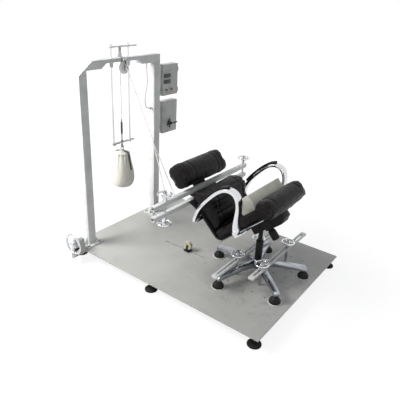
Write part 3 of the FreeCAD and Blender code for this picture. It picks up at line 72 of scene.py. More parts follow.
# %% Camera
camera_lens = bpy.data.cameras.new("photo_camera")
camera_lens.sensor_width = 36
camera_lens.lens = 40.13
camera = bpy.data.objects.new("photo_camera", camera_lens)
scene.collection.objects.link(camera)
camera_right = Vector((0.7981, 0.6006, 0.0492)).normalized()
camera_up = Vector((-0.2909, 0.3125, 0.9044)).normalized()
camera_back = camera_right.cross(camera_up)
camera_place = (1.6668, -2.3649, 1.8824)
camera.matrix_world = Matrix.Translation(camera_place) @ Matrix(
    (camera_right, camera_up, camera_back)).transposed().to_4x4()
scene.camera = camera
print("camera at", camera_place, "with a lens of", camera_lens.lens, "mm")

# %% [markdown]
# ## The studio
# The photograph is a cut-out on white, so the machine stands on a pale floor under a
# pale sky that lights it more from above than from the sides. To the camera, and in
# mirrors and glass, the sky is plain white, which the Light Path node makes possible
# without adding any light.

# %% Sky
world = bpy.data.worlds.new("studio")
scene.world = world
world.use_nodes = True
sky = world.node_tree
sky_light = sky.nodes["Background"]
sky_light.inputs["Strength"].default_value = 0.5
way = sky.nodes.new("ShaderNodeTexCoord")
height = sky.nodes.new("ShaderNodeSeparateXYZ")
sky.links.new(way.outputs["Generated"], height.inputs[0])
rise = sky.nodes.new("ShaderNodeValToRGB")
rise.color_ramp.elements[0].position = 0.02
rise.color_ramp.elements[0].color = (0.20, 0.21, 0.22, 1)
rise.color_ramp.elements[1].position = 0.75
rise.color_ramp.elements[1].color = (0.95, 0.97, 1.0, 1)
sky.links.new(height.outputs["Z"], rise.inputs["Fac"])
sky.links.new(rise.outputs["Color"], sky_light.inputs["Color"])
sky_seen = sky.nodes.new("ShaderNodeBackground")
rays = sky.nodes.new("ShaderNodeLightPath")
seen = sky.nodes.new("ShaderNodeMath")
seen.operation = "MAXIMUM"
sky.links.new(rays.outputs["Is Camera Ray"], seen.inputs[0])
sky.links.new(rays.outputs["Is Transmission Ray"], seen.inputs[1])
mirrored = sky.nodes.new("ShaderNodeMath")
mirrored.operation = "MAXIMUM"
sky.links.new(seen.outputs[0], mirrored.inputs[0])
sky.links.new(rays.outputs["Is Glossy Ray"], mirrored.inputs[1])
sky_seen.inputs["Color"].default_value = (1, 1, 1, 1)
sky_seen.inputs["Strength"].default_value = 1.0
sky_mix = sky.nodes.new("ShaderNodeMixShader")
sky.links.new(mirrored.outputs[0], sky_mix.inputs["Fac"])
sky.links.new(sky_light.outputs[0], sky_mix.inputs[1])
sky.links.new(sky_seen.outputs[0], sky_mix.inputs[2])
sky.links.new(sky_mix.outputs[0], sky.nodes["World Output"].inputs["Surface"])
print("sky of", len(sky.nodes), "nodes")

# %% [markdown]
# ## Lamps
# In the photograph the left faces of the columns are almost white and their right
# faces are mid grey, and the platform fades from light at the gantry to grey at the
# chair. A broad lamp beside the gantry does both: its light weakens with distance, and
# its spread is narrowed so that it weakens away from its middle too. A weaker one on
# the right keeps the dark leather readable.


# %% Lamps
def lamp(name, place, aim, size, power, colour, spread=180):
    """A square area lamp at a place, turned towards what it lights."""
    light = bpy.data.lights.new(name, "AREA")
    light.size = size
    light.spread = math.radians(spread)
    light.energy = power
    light.color = colour
    stand = bpy.data.objects.new(name, light)
    stand.location = place
    stand.rotation_euler = (Vector(aim) - Vector(place)).to_track_quat("-Z", "Y").to_euler()
    scene.collection.objects.link(stand)
    return stand


lamp("key_lamp", (-1.9, -2.0, 2.6), (-0.95, -0.3, 0.2), 1.5, 62, (1.0, 0.99, 0.97), spread=120)
lamp("fill_lamp", (3.2, -1.4, 2.9), (0.2, 0, 0.5), 1.6, 10, (0.96, 0.98, 1.0))
print("lamps:", sorted(light.name for light in bpy.data.lights))

# %% [markdown]
# ## The floor
# The floor takes the machine's shadow. To the camera most of its brightness comes from
# a plain white, and far from the machine all of it does, so that the shadow stays soft
# and the edge of the floor is not seen.

# %% Floor
bpy.ops.object.select_all(action="DESELECT")
bpy.ops.mesh.primitive_plane_add(size=40, location=(0, 0, 0))
floor = bpy.context.object
floor.name = "studio_floor"
floor_paint = bpy.data.materials.new("studio_floor")
floor_paint.use_nodes = True
floor_tree = floor_paint.node_tree
floor_shade = floor_tree.nodes["Principled BSDF"]
floor_shade.inputs["Base Color"].default_value = (0.8, 0.8, 0.8, 1)
floor_shade.inputs["Roughness"].default_value = 0.9
floor_white = floor_tree.nodes.new("ShaderNodeEmission")
floor_white.inputs["Strength"].default_value = 1.12
floor_rays = floor_tree.nodes.new("ShaderNodeLightPath")
floor_place = floor_tree.nodes.new("ShaderNodeTexCoord")
floor_away = floor_tree.nodes.new("ShaderNodeVectorMath")
floor_away.operation = "LENGTH"
floor_tree.links.new(floor_place.outputs["Object"], floor_away.inputs[0])
floor_far = floor_tree.nodes.new("ShaderNodeMapRange")
floor_far.inputs["From Min"].default_value = 1.1
floor_far.inputs["From Max"].default_value = 2.6
floor_far.inputs["To Min"].default_value = 0.76
floor_far.inputs["To Max"].default_value = 1.0
floor_tree.links.new(floor_away.outputs["Value"], floor_far.inputs["Value"])
floor_share = floor_tree.nodes.new("ShaderNodeMath")
floor_share.operation = "MULTIPLY"
floor_tree.links.new(floor_far.outputs["Result"], floor_share.inputs[1])
floor_seen = floor_tree.nodes.new("ShaderNodeMath")
floor_seen.operation = "MAXIMUM"
floor_tree.links.new(floor_rays.outputs["Is Camera Ray"], floor_seen.inputs[0])
floor_tree.links.new(floor_rays.outputs["Is Glossy Ray"], floor_seen.inputs[1])
floor_tree.links.new(floor_seen.outputs[0], floor_share.inputs[0])
floor_mix = floor_tree.nodes.new("ShaderNodeMixShader")
floor_tree.links.new(floor_share.outputs[0], floor_mix.inputs["Fac"])
floor_tree.links.new(floor_shade.outputs[0], floor_mix.inputs[1])
floor_tree.links.new(floor_white.outputs[0], floor_mix.inputs[2])
floor_tree.links.new(floor_mix.outputs[0], floor_tree.nodes["Material Output"].inputs["Surface"])
floor.data.materials.append(floor_paint)
print("floor of", len(floor_tree.nodes), "nodes")

# %% [markdown]
# ## Shared effects
# Real surfaces are never one flat value. Each effect that several finishes share is a
# node group, built once: mottling for paint and wear, a fine grain that raises the
# surface, creased leather, and a plain weave that wraps round a bag. A group gives out
# values and heights only, and each material feeds them to its own shader.


# %% Node groups
def effect(name, inputs, outputs):
    """An empty node group with named sockets, and its two end nodes."""
    group = bpy.data.node_groups.new(name, "ShaderNodeTree")
    for label, kind, value in inputs:
        socket = group.interface.new_socket(label, in_out="INPUT", socket_type=kind)
        if value is not None:
            socket.default_value = value
    for label, kind in outputs:
        group.interface.new_socket(label, in_out="OUTPUT", socket_type=kind)
    start = group.nodes.new("NodeGroupInput")
    end = group.nodes.new("NodeGroupOutput")
    return group, start, end


def maths(tree, operation, first, second=None, third=None):
    """A Math node whose inputs are sockets or numbers; gives its output."""
    node = tree.nodes.new("ShaderNodeMath")
    node.operation = operation
    for socket, value in zip(node.inputs, (first, second, third)):
        if value is None:
            continue
        if isinstance(value, (int, float)):
            socket.default_value = value
        else:
            tree.links.new(value, socket)
    return node.outputs[0]


mottle, start, end = effect("Mottle", [("Vector", "NodeSocketVector", None), ("Scale", "NodeSocketFloat", 5.0),
                                       ("Low", "NodeSocketFloat", 0.35), ("High", "NodeSocketFloat", 0.7)],
                            [("Mask", "NodeSocketFloat")])
cloud = mottle.nodes.new("ShaderNodeTexNoise")
cloud.inputs["Detail"].default_value = 6
cloud.inputs["Roughness"].default_value = 0.62
spread = mottle.nodes.new("ShaderNodeMapRange")
spread.interpolation_type = "SMOOTHSTEP"
mottle.links.new(start.outputs["Vector"], cloud.inputs["Vector"])
mottle.links.new(start.outputs["Scale"], cloud.inputs["Scale"])
mottle.links.new(cloud.outputs["Fac"], spread.inputs["Value"])
mottle.links.new(start.outputs["Low"], spread.inputs["From Min"])
mottle.links.new(start.outputs["High"], spread.inputs["From Max"])
mottle.links.new(spread.outputs["Result"], end.inputs["Mask"])

grain, start, end = effect("Grain", [("Vector", "NodeSocketVector", None), ("Scale", "NodeSocketFloat", 400.0)],
                           [("Height", "NodeSocketFloat")])
speck = grain.nodes.new("ShaderNodeTexNoise")
speck.inputs["Detail"].default_value = 2
grain.links.new(start.outputs["Vector"], speck.inputs["Vector"])
grain.links.new(start.outputs["Scale"], speck.inputs["Scale"])
grain.links.new(speck.outputs["Fac"], end.inputs["Height"])

leather, start, end = effect("Leather", [("Vector", "NodeSocketVector", None), ("Scale", "NodeSocketFloat", 260.0),
                                         ("Creases", "NodeSocketFloat", 0.6)],
                             [("Height", "NodeSocketFloat"), ("Crease", "NodeSocketFloat")])
cells = leather.nodes.new("ShaderNodeTexVoronoi")
cells.feature = "DISTANCE_TO_EDGE"
leather.links.new(start.outputs["Vector"], cells.inputs["Vector"])
leather.links.new(start.outputs["Scale"], cells.inputs["Scale"])
pebble = maths(leather, "MINIMUM", maths(leather, "MULTIPLY", cells.outputs["Distance"], 4.0), 1.0)
folds = leather.nodes.new("ShaderNodeTexNoise")
folds.inputs["Scale"].default_value = 14
folds.inputs["Detail"].default_value = 4
folds.inputs["Distortion"].default_value = 1.2
leather.links.new(start.outputs["Vector"], folds.inputs["Vector"])
ridge = maths(leather, "ABSOLUTE", maths(leather, "SUBTRACT", folds.outputs["Fac"], 0.5))
crease = maths(leather, "SUBTRACT", 1.0, maths(leather, "MINIMUM", maths(leather, "MULTIPLY", ridge, 14.0), 1.0))
creased = maths(leather, "MULTIPLY", crease, start.outputs["Creases"])
leather.links.new(maths(leather, "SUBTRACT", pebble, creased), end.inputs["Height"])
leather.links.new(creased, end.inputs["Crease"])

weave, start, end = effect("Weave", [("Vector", "NodeSocketVector", None), ("Around", "NodeSocketFloat", 180.0),
                                     ("Along", "NodeSocketFloat", 420.0)],
                           [("Height", "NodeSocketFloat"), ("Slub", "NodeSocketFloat")])
apart = weave.nodes.new("ShaderNodeSeparateXYZ")
weave.links.new(start.outputs["Vector"], apart.inputs[0])
turn = maths(weave, "ARCTAN2", apart.outputs["Y"], apart.outputs["X"])
warp = maths(weave, "SINE", maths(weave, "MULTIPLY", turn, start.outputs["Around"]))
weft = maths(weave, "SINE", maths(weave, "MULTIPLY", apart.outputs["Z"], start.outputs["Along"]))
cross = maths(weave, "MULTIPLY_ADD", maths(weave, "MULTIPLY", warp, weft), 0.5, 0.5)
slub = weave.nodes.new("ShaderNodeTexNoise")
slub.inputs["Scale"].default_value = 30
slub.inputs["Detail"].default_value = 5
weave.links.new(start.outputs["Vector"], slub.inputs["Vector"])
weave.links.new(cross, end.inputs["Height"])
weave.links.new(slub.outputs["Fac"], end.inputs["Slub"])

print("shared effects:", sorted(group.name for group in bpy.data.node_groups))

# %% [markdown]
# ## The finishes
# A finish starts from two colours of the real surface, clean and worn, that a mottled
# mask mixes. The same mask changes the gloss a little, and a grain raises the surface.
# The numbers that stay the same all over, such as how metallic a surface is, are typed
# on the shader's own sockets.


# %% Finish builder
def link_group(tree, group, source, **values):
    """Place a shared effect in a material, fed with object coordinates."""
    node = tree.nodes.new("ShaderNodeGroup")
    node.node_tree = group
    tree.links.new(source, node.inputs["Vector"])
    for label, value in values.items():
        node.inputs[label].default_value = value
    return node


def finish(name, clean, worn, rough, metallic=0.0, patch=6.0, low=0.35, high=0.75, grain_scale=400.0,
           bump=0.0002, coat=0.0, shine=0.5):
    """A finish of two mottled colours, with its gloss and grain."""
    material = bpy.data.materials.new(name)
    material.use_nodes = True
    tree = material.node_tree
    shader = tree.nodes["Principled BSDF"]
    where = tree.nodes.new("ShaderNodeTexCoord").outputs["Object"]
    patches = link_group(tree, mottle, where, Scale=patch, Low=low, High=high)
    paint = tree.nodes.new("ShaderNodeMix")
    paint.data_type = "RGBA"
    paint.inputs["A"].default_value = (*clean, 1)
    paint.inputs["B"].default_value = (*worn, 1)
    tree.links.new(patches.outputs["Mask"], paint.inputs["Factor"])
    tree.links.new(paint.outputs["Result"], shader.inputs["Base Color"])
    gloss = tree.nodes.new("ShaderNodeMapRange")
    gloss.inputs["To Min"].default_value = rough
    gloss.inputs["To Max"].default_value = rough + 0.14
    tree.links.new(patches.outputs["Mask"], gloss.inputs["Value"])
    tree.links.new(gloss.outputs["Result"], shader.inputs["Roughness"])
    raised = link_group(tree, grain, where, Scale=grain_scale)
    relief = tree.nodes.new("ShaderNodeBump")
    relief.inputs["Distance"].default_value = bump
    tree.links.new(raised.outputs["Height"], relief.inputs["Height"])
    tree.links.new(relief.outputs["Normal"], shader.inputs["Normal"])
    shader.inputs["Metallic"].default_value = metallic
    shader.inputs["Specular IOR Level"].default_value = shine
    if coat:
        shader.inputs["Coat Weight"].default_value = coat
        shader.inputs["Coat Roughness"].default_value = 0.15
    return material


finishes = {
    "white_paint": finish("white_paint", (0.70, 0.71, 0.71), (0.58, 0.59, 0.57), 0.34, patch=9, coat=0.2),
    "box_paint": finish("box_paint", (0.53, 0.54, 0.52), (0.40, 0.41, 0.39), 0.36, patch=13, coat=0.15),
    "frame_paint": finish("frame_paint", (0.42, 0.42, 0.40), (0.28, 0.28, 0.26), 0.45, patch=8),
    "zinc_steel": finish("zinc_steel", (0.46, 0.47, 0.47), (0.26, 0.26, 0.25), 0.30, metallic=1.0, patch=30),
    "chrome": finish("chrome", (0.70, 0.71, 0.73), (0.50, 0.51, 0.53), 0.10, metallic=1.0, patch=16, low=0.5,
                     high=0.9, bump=0.00003),
    "polished_alloy": finish("polished_alloy", (0.42, 0.44, 0.48), (0.28, 0.30, 0.33), 0.17, metallic=1.0,
                             patch=14),
    "dark_metal": finish("dark_metal", (0.10, 0.10, 0.10), (0.05, 0.05, 0.05), 0.35, metallic=1.0, patch=40),
    "black_rubber": finish("black_rubber", (0.010, 0.010, 0.010), (0.030, 0.029, 0.028), 0.62, patch=20,
                           bump=0.0004, shine=0.15),
    "black_plastic": finish("black_plastic", (0.010, 0.010, 0.011), (0.020, 0.020, 0.021), 0.42, patch=12,
                            shine=0.16),
    "hose_plastic": finish("hose_plastic", (0.66, 0.67, 0.65), (0.56, 0.56, 0.53), 0.35, patch=10),
    "display_plastic": finish("display_plastic", (0.008, 0.009, 0.010), (0.018, 0.018, 0.019), 0.18, patch=20),
    "button_green": finish("button_green", (0.01, 0.14, 0.07), (0.02, 0.10, 0.05), 0.25, patch=60),
    "button_red": finish("button_red", (0.34, 0.02, 0.015), (0.24, 0.02, 0.015), 0.25, patch=60),
    "figure_red": finish("figure_red", (0.030, 0.008, 0.007), (0.020, 0.007, 0.006), 0.3, patch=60),
    "foam_board": finish("foam_board", (0.70, 0.69, 0.61), (0.56, 0.55, 0.47), 0.8, patch=11, grain_scale=220,
                         bump=0.0006),
    "pale_nylon": finish("pale_nylon", (0.60, 0.56, 0.42), (0.42, 0.38, 0.27), 0.45, patch=20),
}
print(len(finishes), "plain finishes")

# %% [markdown]
# ## Leather, canvas and rope
# The cushions are black leather: small pebbles, soft creases and a low sheen that
# catches the lamp where the leather is stretched. The weight bag is unbleached canvas,
# whose weave runs round and up the bag. The rope is pale fibre, laid in three strands.


# %% Soft finishes
def leather_finish():
    material = bpy.data.materials.new("black_leather")
    material.use_nodes = True
    tree = material.node_tree
    shader = tree.nodes["Principled BSDF"]
    where = tree.nodes.new("ShaderNodeTexCoord").outputs["Object"]
    hide = link_group(tree, leather, where, Scale=330.0, Creases=0.7)
    patches = link_group(tree, mottle, where, Scale=7.0, Low=0.4, High=0.8)
    dye = tree.nodes.new("ShaderNodeMix")
    dye.data_type = "RGBA"
    dye.inputs["A"].default_value = (0.006, 0.005, 0.006, 1)
    dye.inputs["B"].default_value = (0.016, 0.012, 0.012, 1)
    tree.links.new(patches.outputs["Mask"], dye.inputs["Factor"])
    tree.links.new(dye.outputs["Result"], shader.inputs["Base Color"])
    gloss = tree.nodes.new("ShaderNodeMapRange")
    gloss.inputs["To Min"].default_value = 0.34
    gloss.inputs["To Max"].default_value = 0.55
    tree.links.new(hide.outputs["Crease"], gloss.inputs["Value"])
    tree.links.new(gloss.outputs["Result"], shader.inputs["Roughness"])
    relief = tree.nodes.new("ShaderNodeBump")
    relief.inputs["Distance"].default_value = 0.0005
    relief.inputs["Strength"].default_value = 0.6
    shader.inputs["Specular IOR Level"].default_value = 0.14
    tree.links.new(hide.outputs["Height"], relief.inputs["Height"])
    tree.links.new(relief.outputs["Normal"], shader.inputs["Normal"])
    return material


def canvas_finish(middle):
    material = bpy.data.materials.new("bag_canvas")
    material.use_nodes = True
    tree = material.node_tree
    shader = tree.nodes["Principled BSDF"]
    where = tree.nodes.new("ShaderNodeTexCoord").outputs["Object"]
    centre = tree.nodes.new("ShaderNodeMapping")
    centre.inputs["Location"].default_value = (-middle[0], -middle[1], 0)
    tree.links.new(where, centre.inputs["Vector"])
    cloth = link_group(tree, weave, centre.outputs["Vector"], Around=230.0, Along=1900.0)
    soil = link_group(tree, mottle, where, Scale=5.0, Low=0.35, High=0.8)
    thread = tree.nodes.new("ShaderNodeMix")
    thread.data_type = "RGBA"
    thread.inputs["A"].default_value = (0.86, 0.84, 0.76, 1)
    thread.inputs["B"].default_value = (0.74, 0.71, 0.63, 1)
    tree.links.new(soil.outputs["Mask"], thread.inputs["Factor"])
    shade = tree.nodes.new("ShaderNodeMix")
    shade.data_type = "RGBA"
    shade.blend_type = "MULTIPLY"
    shade.inputs["Factor"].default_value = 0.15
    tree.links.new(thread.outputs["Result"], shade.inputs["A"])
    tree.links.new(cloth.outputs["Slub"], shade.inputs["B"])
    tree.links.new(shade.outputs["Result"], shader.inputs["Base Color"])
    shader.inputs["Roughness"].default_value = 0.92
    shader.inputs["Sheen Weight"].default_value = 0.2
    relief = tree.nodes.new("ShaderNodeBump")
    relief.inputs["Distance"].default_value = 0.0006
    tree.links.new(cloth.outputs["Height"], relief.inputs["Height"])
    tree.links.new(relief.outputs["Normal"], shader.inputs["Normal"])
    return material


# %% [markdown]
# ## The platform's paint
# The grey paint is one tone all over, a little cloudy from wear. Round the chair it is
# stained, with dark specks of grease, so a soft mask that grows towards the chair lets
# them through.


# %% Platform paint
def plate_finish(stain_middle, stain_reach):
    material = bpy.data.materials.new("plate_paint")
    material.use_nodes = True
    tree = material.node_tree
    shader = tree.nodes["Principled BSDF"]
    where = tree.nodes.new("ShaderNodeTexCoord").outputs["Object"]
    clouds = link_group(tree, mottle, where, Scale=3.0, Low=0.3, High=0.75)
    specks = link_group(tree, mottle, where, Scale=62.0, Low=0.62, High=0.70)
    blots = link_group(tree, mottle, where, Scale=16.0, Low=0.52, High=0.78)
    away = tree.nodes.new("ShaderNodeVectorMath")
    away.operation = "DISTANCE"
    away.inputs[1].default_value = stain_middle
    tree.links.new(where, away.inputs[0])
    near = tree.nodes.new("ShaderNodeMapRange")
    near.interpolation_type = "SMOOTHSTEP"
    near.inputs["From Min"].default_value = stain_reach
    near.inputs["From Max"].default_value = stain_reach * 0.35
    tree.links.new(away.outputs["Value"], near.inputs["Value"])
    paint = tree.nodes.new("ShaderNodeMix")
    paint.data_type = "RGBA"
    paint.inputs["A"].default_value = (0.46, 0.46, 0.445, 1)
    paint.inputs["B"].default_value = (0.39, 0.39, 0.37, 1)
    tree.links.new(clouds.outputs["Mask"], paint.inputs["Factor"])
    dirt = maths(tree, "MULTIPLY", near.outputs["Result"], maths(tree, "MAXIMUM", maths(
        tree, "MULTIPLY", blots.outputs["Mask"], 0.45), maths(tree, "MULTIPLY", specks.outputs["Mask"], 0.9)))
    stained = tree.nodes.new("ShaderNodeMix")
    stained.data_type = "RGBA"
    stained.inputs["B"].default_value = (0.10, 0.095, 0.08, 1)
    tree.links.new(dirt, stained.inputs["Factor"])
    tree.links.new(paint.outputs["Result"], stained.inputs["A"])
    tree.links.new(stained.outputs["Result"], shader.inputs["Base Color"])
    gloss = tree.nodes.new("ShaderNodeMapRange")
    gloss.inputs["To Min"].default_value = 0.40
    gloss.inputs["To Max"].default_value = 0.58
    tree.links.new(clouds.outputs["Mask"], gloss.inputs["Value"])
    tree.links.new(gloss.outputs["Result"], shader.inputs["Roughness"])
    raised = link_group(tree, grain, where, Scale=260.0)
    relief = tree.nodes.new("ShaderNodeBump")
    relief.inputs["Distance"].default_value = 0.0001
    tree.links.new(raised.outputs["Height"], relief.inputs["Height"])
    tree.links.new(relief.outputs["Normal"], shader.inputs["Normal"])
    return material


finishes["plate_paint"] = plate_finish((0.46, -0.02, 0.085), 0.62)
bag_low, bag_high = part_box("weight_bag")
bag_middle = (bag_low + bag_high) / 2
finishes["black_leather"] = leather_finish()
finishes["bag_canvas"] = canvas_finish(bag_middle)
finishes["rope_fibre"] = finish("rope_fibre", (0.86, 0.85, 0.81), (0.74, 0.73, 0.68), 0.85, patch=40,
                                grain_scale=900, bump=0.0003)
finishes["webbing"] = finish("webbing", (0.075, 0.068, 0.060), (0.13, 0.12, 0.105), 0.85, patch=60,
                             grain_scale=1200, bump=0.0004)
print(len(finishes), "finishes in all")

# %% [markdown]
# ## Dressing the CAD nodes
# The record says which finish each node has. Every node gets its finish through its
# own material slot, and the ones that deserve a better shape are replaced further on.

# %% Paint the nodes
slot_of = {part["node"]: part["material_slot"] for part in frame["record"]["subparts"]}
boxes = ("upper_box", "upper_door", "lower_box")
finish_of = {name: "box_paint" if name in boxes else slot for name, slot in slot_of.items()}
finish_of["glide_discs"] = "hose_plastic"
for name, piece in frame["nodes"].items():
    for place in piece.material_slots:
        place.material = finishes[finish_of[name]]
print("painted", len(slot_of), "nodes")

# %% [markdown]
# ## Rounded metal and plastic
# A CAD edge is perfectly sharp, but sheet steel, castings and moulded plastic have
# edges that catch a line of light. A copy of the node is merged into one surface, its
# flat triangles are dissolved, and a Bevel modifier rounds only the sharp edges.


# %% Soften edges
def copy_node(node, name):
    """A merged copy of a CAD node's mesh, alone in the selection."""
    bpy.ops.object.select_all(action="DESELECT")
    piece = bpy.data.objects.new(name, frame["nodes"][node].data.copy())
    scene.collection.objects.link(piece)
    bpy.context.view_layer.objects.active = piece
    piece.select_set(True)
    bpy.ops.object.mode_set(mode="EDIT")
    bpy.ops.mesh.select_all(action="SELECT")
    bpy.ops.mesh.remove_doubles(threshold=0.00002)
    bpy.ops.object.mode_set(mode="OBJECT")
    return piece


def soften(node, body, width, segments=2, angle=28, merge=0.6):
    """Replace a node by a copy with rounded edges."""
    piece = copy_node(node, node + "_rounded")
    bpy.ops.object.mode_set(mode="EDIT")
    bpy.ops.mesh.select_all(action="SELECT")
    bpy.ops.mesh.dissolve_limited(angle_limit=math.radians(merge))
    bpy.ops.object.mode_set(mode="OBJECT")
    edge = piece.modifiers.new("edge", "BEVEL")
    edge.limit_method = "ANGLE"
    edge.angle_limit = math.radians(angle)
    edge.width = width
    edge.segments = segments
    edge.miter_outer = "MITER_ARC"
    bpy.ops.object.modifier_apply(modifier="edge")
    bpy.ops.object.shade_smooth_by_angle(angle=math.radians(40))
    piece.data.materials.clear()
    piece.data.materials.append(finishes[finish_of[node]])
    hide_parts(node)
    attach(piece, body)
    return piece


body_of_node = {}
for body, members in frame["record"]["behaviour"]["bodies"].items():
    for member in members:
        body_of_node[member] = body
edges = {
    "near_column": 0.002, "far_column": 0.002, "top_beam": 0.0015, "upper_box": 0.001, "lower_box": 0.0012,
    "base_clamp_bars": 0.001, "back_clamp_bars": 0.0015, "star_base": 0.006, "glides": 0.003,
    "glide_discs": 0.001, "levelling_feet": 0.003, "tilt_mechanism": 0.004, "chair_shell": 0.005,
    "tension_knob": 0.003, "near_arm": 0.004, "far_arm": 0.004, "arm_pads": 0.005, "load_block": 0.002,
    "slot_slider": 0.001, "slider_pulley": 0.001, "corner_bracket": 0.001, "crank_knob": 0.002,
    "gas_lift": 0.0015, "air_valve": 0.001, "valve_lever": 0.001, "top_bar": 0.0012, "bottom_bar": 0.0012,
    "carriage_hooks": 0.0008, "sheave_fork": 0.001, "top_sheave": 0.001, "counter_displays": 0.001,
}
rounded = {node: soften(node, body_of_node[node], width) for node, width in edges.items()}
print("rounded", len(rounded), "nodes")

# %% [markdown]
# ## The shell's rounded corner
# The seat shell turns from the seat into the back in one round bend, which the CAD
# solid draws as a corner. First cuts are made through the bend's centre, like slices of
# a cake, so that there are points to move. Then each square path round the centre is
# pulled in to a circle, and the shell's wall keeps its thickness.

# %% Bend the shell
chair_pivot = Vector((0.463, 0.0465, 0.470))
lean = math.radians(42)
seat_way = Vector((math.cos(lean), 0, math.sin(lean)))
seat_up = Vector((-math.sin(lean), 0, math.cos(lean)))


def level(place):
    """Where a point lies on the chair before it was leant back, in metres."""
    offset = place - chair_pivot
    return Vector((offset.dot(seat_way), offset.y, offset.dot(seat_up)))


def leant(place):
    """The opposite of level."""
    return chair_pivot + seat_way * place.x + Vector((0, place.y, 0)) + seat_up * place.z


bend_reach = 0.055
bend_x = -0.215 + bend_reach
bend_z = 0.042 + bend_reach
shape = bmesh.new()
shape.from_mesh(rounded["chair_shell"].data)
for number in range(1, 9):
    turn = math.radians(10 * number)
    bmesh.ops.bisect_plane(shape, geom=shape.verts[:] + shape.edges[:] + shape.faces[:],
                           plane_co=leant(Vector((bend_x, 0, bend_z))),
                           plane_no=seat_way * math.sin(turn) - seat_up * math.cos(turn), dist=0.000001)
bent = 0
for vertex in shape.verts:
    place = level(vertex.co)
    across, along = place.x - bend_x, place.z - bend_z
    if across < 0 and along < 0:
        share = max(-across, -along) / math.hypot(across, along)
        vertex.co = leant(Vector((bend_x + across * share, place.y, bend_z + along * share)))
        bent += 1
shape.to_mesh(rounded["chair_shell"].data)
shape.free()
print("bent", bent, "points of the shell")

# %% [markdown]
# ## Ropes and the air hose
# A rope is three strands twisted round each other. Its line is a smooth curve through
# a few points, and each strand is a thin tube that circles that line. The same smooth
# curve, with a round bevel, makes a plain hose.


# %% Cord helpers
def smooth_line(name, points):
    """A smooth curve with the points as its control points."""
    data = bpy.data.curves.new(name, "CURVE")
    data.dimensions = "3D"
    line = data.splines.new("NURBS")
    line.points.add(len(points) - 1)
    for spot, place in zip(line.points, points):
        spot.co = (*place, 1)
    line.order_u = 3
    line.use_endpoint_u = True
    data.resolution_u = 16
    curve = bpy.data.objects.new(name, data)
    scene.collection.objects.link(curve)
    return curve


def places_on(curve):
    """The points of a curve's own smooth line."""
    bpy.context.view_layer.update()
    line = bpy.data.meshes.new_from_object(curve)
    places = [vertex.co.copy() for vertex in line.vertices]
    bpy.data.meshes.remove(line)
    return places


def line_length(places):
    return sum((b - a).length for a, b in zip(places, places[1:]))


def spread_out(places, step):
    """The same line with its points a step apart."""
    total = line_length(places)
    count = max(2, round(total / step))
    found = []
    index = 0
    passed = 0.0
    for number in range(count + 1):
        goal = total * number / count
        while index < len(places) - 2 and passed + (places[index + 1] - places[index]).length < goal:
            passed += (places[index + 1] - places[index]).length
            index += 1
        run = places[index + 1] - places[index]
        share = 0 if run.length == 0 else (goal - passed) / run.length
        found.append(places[index] + run * min(1.0, share))
    return found


def laid_rope(name, points, radius, pitch=0.02):
    """A three-strand rope along a smooth line through the points."""
    guide = smooth_line(name + "_line", points)
    places = spread_out(places_on(guide), pitch / 9)
    bpy.data.objects.remove(guide)
    mesh = bpy.data.meshes.new(name)
    shape = bmesh.new()
    side = (places[1] - places[0]).orthogonal().normalized()
    for strand in range(3):
        last = None
        passed = 0.0
        middles = []
        for index, place in enumerate(places):
            ahead = places[min(index + 1, len(places) - 1)] - places[max(index - 1, 0)]
            ahead.normalize()
            side = (side - ahead * side.dot(ahead)).normalized()
            other = ahead.cross(side)
            if index:
                passed += (place - places[index - 1]).length
            turn = 2 * math.pi * (passed / pitch + strand / 3)
            middles.append(place + (side * math.cos(turn) + other * math.sin(turn)) * radius * 0.5)
        across = (middles[1] - middles[0]).orthogonal().normalized()
        for index, middle in enumerate(middles):
            along = middles[min(index + 1, len(middles) - 1)] - middles[max(index - 1, 0)]
            along.normalize()
            across = (across - along * across.dot(along)).normalized()
            over = along.cross(across)
            ring = []
            for number in range(6):
                angle = 2 * math.pi * number / 6
                ring.append(shape.verts.new(middle + (across * math.cos(angle) + over * math.sin(angle))
                                            * radius * 0.5))
            if last is None:
                shape.faces.new(ring[::-1])
            else:
                for number in range(6):
                    after = (number + 1) % 6
                    shape.faces.new((last[number], last[after], ring[after], ring[number]))
            last = ring
        shape.faces.new(last)
    bmesh.ops.recalc_face_normals(shape, faces=shape.faces)
    shape.to_mesh(mesh)
    shape.free()
    for face in mesh.polygons:
        face.use_smooth = True
    rope = bpy.data.objects.new(name, mesh)
    scene.collection.objects.link(rope)
    rope.data.materials.append(finishes["rope_fibre"])
    return rope, places


# %% [markdown]
# ## The rope over the sheave
# One rope holds the weight and pulls the chair's back. It rises from the turnbuckle,
# turns over the sheave and runs down to a knot, where it parts into two strands. Every
# run is straight because the rope is taut. The curve's points on the sheave stand a
# little outside its circle, so that the smooth line between them touches it.

# %% Ropes
platform_left = -0.82
platform_corner = Vector((platform_left, -0.5365, 0))


def on_platform(x, y, z):
    """A place in millimetres from the platform's corner, in the scene's metres."""
    return platform_corner + Vector((x, y, z)) / 1000


